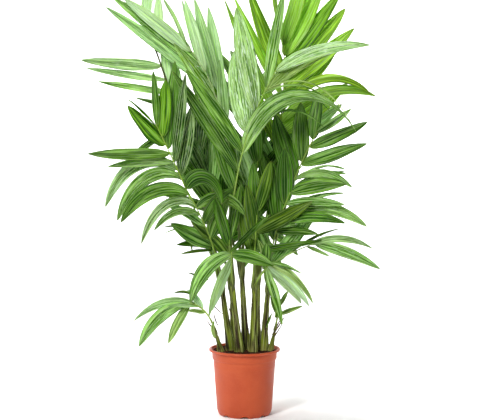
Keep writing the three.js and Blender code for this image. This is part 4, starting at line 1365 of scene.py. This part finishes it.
def cut_away(piece, shape):
    """Cuts a shape out of a piece."""
    cutter = linked("cutter", mesh_from("cutter", shape))
    cut = piece.modifiers.new("cut", "BOOLEAN")
    cut.operation, cut.solver, cut.object = "DIFFERENCE", "EXACT", cutter
    graph = bpy.context.evaluated_depsgraph_get()
    result = bpy.data.meshes.new_from_object(piece.evaluated_get(graph))
    piece.modifiers.clear()
    piece.data = result
    bpy.data.objects.remove(cutter)


def foot_cutter():
    """The arched notches in the pot's foot and the drain holes in its floor."""
    shape = bmesh.new()
    for i in range(NOTCH["count"]):
        turn = i / NOTCH["count"] * math.tau - math.pi / 2
        reach = (POT["foot_inner"] + 1) * MM
        at = Matrix.Rotation(turn, 4, "Z") @ Matrix.Translation((reach, 0, 0))
        size = Matrix.Diagonal((NOTCH["depth"] * MM, NOTCH["width"] * MM, 2 * NOTCH["height"] * MM, 1))
        bmesh.ops.create_cone(
            shape, cap_ends=True, segments=24, radius1=0.5, radius2=0.5, depth=1,
            matrix=at @ size @ Matrix.Rotation(math.pi / 2, 4, "Y"),
        )
    for i in range(DRAIN["count"]):
        turn = (i + 0.5) / DRAIN["count"] * math.tau
        at = Matrix.Rotation(turn, 4, "Z") @ Matrix.Translation((DRAIN["circle"] * MM, 0, 0))
        radius = DRAIN["radius"] * MM
        bmesh.ops.create_cone(
            shape, cap_ends=True, segments=24, radius1=radius, radius2=radius,
            depth=DRAIN["depth"] * MM, matrix=at,
        )
    return shape


def make_pot():
    """The nursery pot with its rolled rim, faint rings, arched foot notches and drain holes."""
    profile = pot_outside(POT) + pot_lip(POT) + pot_inside(POT)
    pot = linked("nursery_pot", mesh_from("nursery_pot", turned(profile, 128)))
    cut_away(pot, foot_cutter())
    pot.data.materials.clear()
    pot.data.materials.append(POT_SKIN)
    smoothed(pot.data).set_sharp_from_angle(angle=math.radians(32))
    settle(pot, "pot_plastic", "pot")


# ---- The soil ----


def soil_height(x, y):
    """Height of the soil's rough top over its level, in millimetres."""
    slow = noise.noise(Vector((x / 26, y / 26, 3.1)))
    fine = noise.noise(Vector((x / 6, y / 6, 8.4)))
    return 2.6 * slow + 1.6 * fine


def soil_profile(p):
    """The soil's section, a little clear of the pot's wall and floor, with a top of many rings."""
    edge, gap = p["collar"] - p["wall"] - 1.2, 0.4
    floor_top = p["floor"] + p["floor_thick"]
    side = [
        (0, p["floor_thick"] + gap), (p["pad"] - 2, p["floor_thick"] + gap),
        (p["pad"] + 2, floor_top + gap), (p["bevel"] - p["wall"] - 3, floor_top + gap),
        (p["body_low"] - p["wall"] - gap, p["low_height"] + gap),
        (p["body_top"] - p["wall"] - gap, p["collar_bottom"] - 3),
        (p["collar_foot"] - p["wall"] - gap - 0.4, p["collar_bottom"] + 3), (edge, SOIL_TOP - 3),
    ]
    return side + [(edge * (1 - i / 34), SOIL_TOP) for i in range(35)]


def make_soil():
    shape = turned(soil_profile(POT), 120)
    for vertex in shape.verts:
        x, y, z = vertex.co / MM
        if z > SOIL_TOP - 0.01:
            vertex.co.z += soil_height(x, y) * MM
    bed = linked("soil_bed", smoothed(mesh_from("soil_bed", shape, SOIL_SKIN)))
    settle(bed, "potting_soil", "soil")


def add_crumb(shape, draw, edge):
    """One crumb of its own size, place and turn, with its corners moved about."""
    reach, turn = edge * math.sqrt(draw.random()), draw.random() * math.tau
    x, y = reach * math.cos(turn), reach * math.sin(turn)
    size = draw.uniform(1.0, 2.4) if draw.random() < 0.8 else draw.uniform(2.4, 4.6)
    place = Matrix.Translation(Vector((x, y, SOIL_TOP + soil_height(x, y) + 0.2 * size)) * MM)
    spin = Matrix.Rotation(draw.random() * math.tau, 4, "Z")
    spin = spin @ Matrix.Rotation(draw.uniform(-0.6, 0.6), 4, "X")
    long, flat = size * draw.uniform(0.8, 1.8), size * draw.uniform(0.4, 0.8)
    stretch = Matrix.Diagonal((long * MM, size * MM, flat * MM, 1))
    made = bmesh.ops.create_icosphere(shape, subdivisions=1, radius=1, matrix=place @ spin @ stretch)
    for vertex in made["verts"]:
        moved = Vector((draw.uniform(-1, 1), draw.uniform(-1, 1), draw.uniform(-1, 1)))
        vertex.co += moved * 0.22 * size * MM


def make_crumbs():
    """Crumbs of bark and peat, half sunk in the soil."""
    draw = random.Random(41)
    shape = bmesh.new()
    for _ in range(900):
        add_crumb(shape, draw, POT["collar"] - POT["wall"] - 5)
    settle(linked("bark_crumbs", mesh_from("bark_crumbs", shape, BARK_SKIN)), "potting_soil")


# ---- Stage, light and camera, in metres ----

STAGE = dict(width=14, front=-9, back=12, high=9, bend=2.5, turns=16)

# Each lamp's name, place, target, size and power
LAMPS = (
    ("key", (-1.7, -3.7, 3.6), (0, 0, 0.7), 1.2, 216),
    ("fill", (3.4, -2.6, 1.8), (0, 0, 0.7), 2.4, 44),
    ("left edge", (-3.2, 1.2, 1.6), (0, 0, 0.7), 1.4, 38),
    ("top", (-0.6, 2.0, 3.6), (0, 0, 1.0), 1.8, 190),
    ("far floor left", (-3.8, 4.4, 3.2), (-0.8, 8.0, 0.8), 2.6, 300),
    ("far floor right", (3.8, 4.4, 3.2), (0.8, 8.0, 0.8), 2.6, 300),
    ("backdrop left", (-4.2, 8.2, 3.2), (-1.2, 12.0, 0.8), 2.6, 380),
    ("backdrop right", (4.2, 8.2, 3.2), (1.2, 12.0, 0.8), 2.6, 380),
)

# The camera stands level with the upper fronds and looks slightly down
CAMERA = dict(place=(-0.015, -6.0, 1.3046), pitch=5.83, focal_pixels=1805, picture=480, sensor=36)


def make_stage():
    """A pale floor that curves up into a backdrop."""
    width, back, bend = STAGE["width"], STAGE["back"], STAGE["bend"]
    line = [(STAGE["front"], 0.0), (back - bend, 0.0)]
    for turn in np.linspace(0.1, math.pi / 2, STAGE["turns"]):
        line.append((back - bend + bend * math.sin(turn), bend - bend * math.cos(turn)))
    line.append((back, STAGE["high"]))
    shape = bmesh.new()
    left, right = [[shape.verts.new((x, y, z)) for y, z in line] for x in (-width, width)]
    for i in range(len(line) - 1):
        shape.faces.new((left[i], right[i], right[i + 1], left[i + 1]))
    paper, _, shader = new_finish("Pale paper", 0.9)
    shader.inputs["Base Color"].default_value = (0.93, 0.93, 0.93, 1)
    linked("studio_floor", smoothed(mesh_from("studio_floor", shape, paper)))


def make_light():
    world = bpy.data.worlds.new("studio")
    world.use_nodes = True
    world.node_tree.nodes["Background"].inputs["Color"].default_value = (1, 1, 1, 1)
    world.node_tree.nodes["Background"].inputs["Strength"].default_value = 0.08
    bpy.context.scene.world = world
    for name, place, target, size, power in LAMPS:
        data = bpy.data.lights.new(name, "AREA")
        data.shape, data.size, data.energy = "DISK", size, power
        lamp = linked(name, data)
        lamp.location = place
        lamp.rotation_euler = (Vector(target) - Vector(place)).to_track_quat("-Z", "Y").to_euler()
    bpy.context.scene.view_settings.view_transform = "Standard"


def make_camera():
    data = bpy.data.cameras.new("camera")
    data.sensor_width = CAMERA["sensor"]
    data.lens = CAMERA["focal_pixels"] / CAMERA["picture"] * CAMERA["sensor"]
    camera = linked("camera", data)
    camera.location = CAMERA["place"]
    camera.rotation_euler = (math.radians(90 - CAMERA["pitch"]), 0, 0)
    bpy.context.scene.camera = camera


make_camera()
make_light()
make_stage()
make_pot()
make_soil()
make_crumbs()
for number, stem_name in enumerate(STEMS):
    grow_stem(stem_name, number)
for number, frond_name in enumerate(FRONDS):
    grow_frond(frond_name, number)
make_slivers()
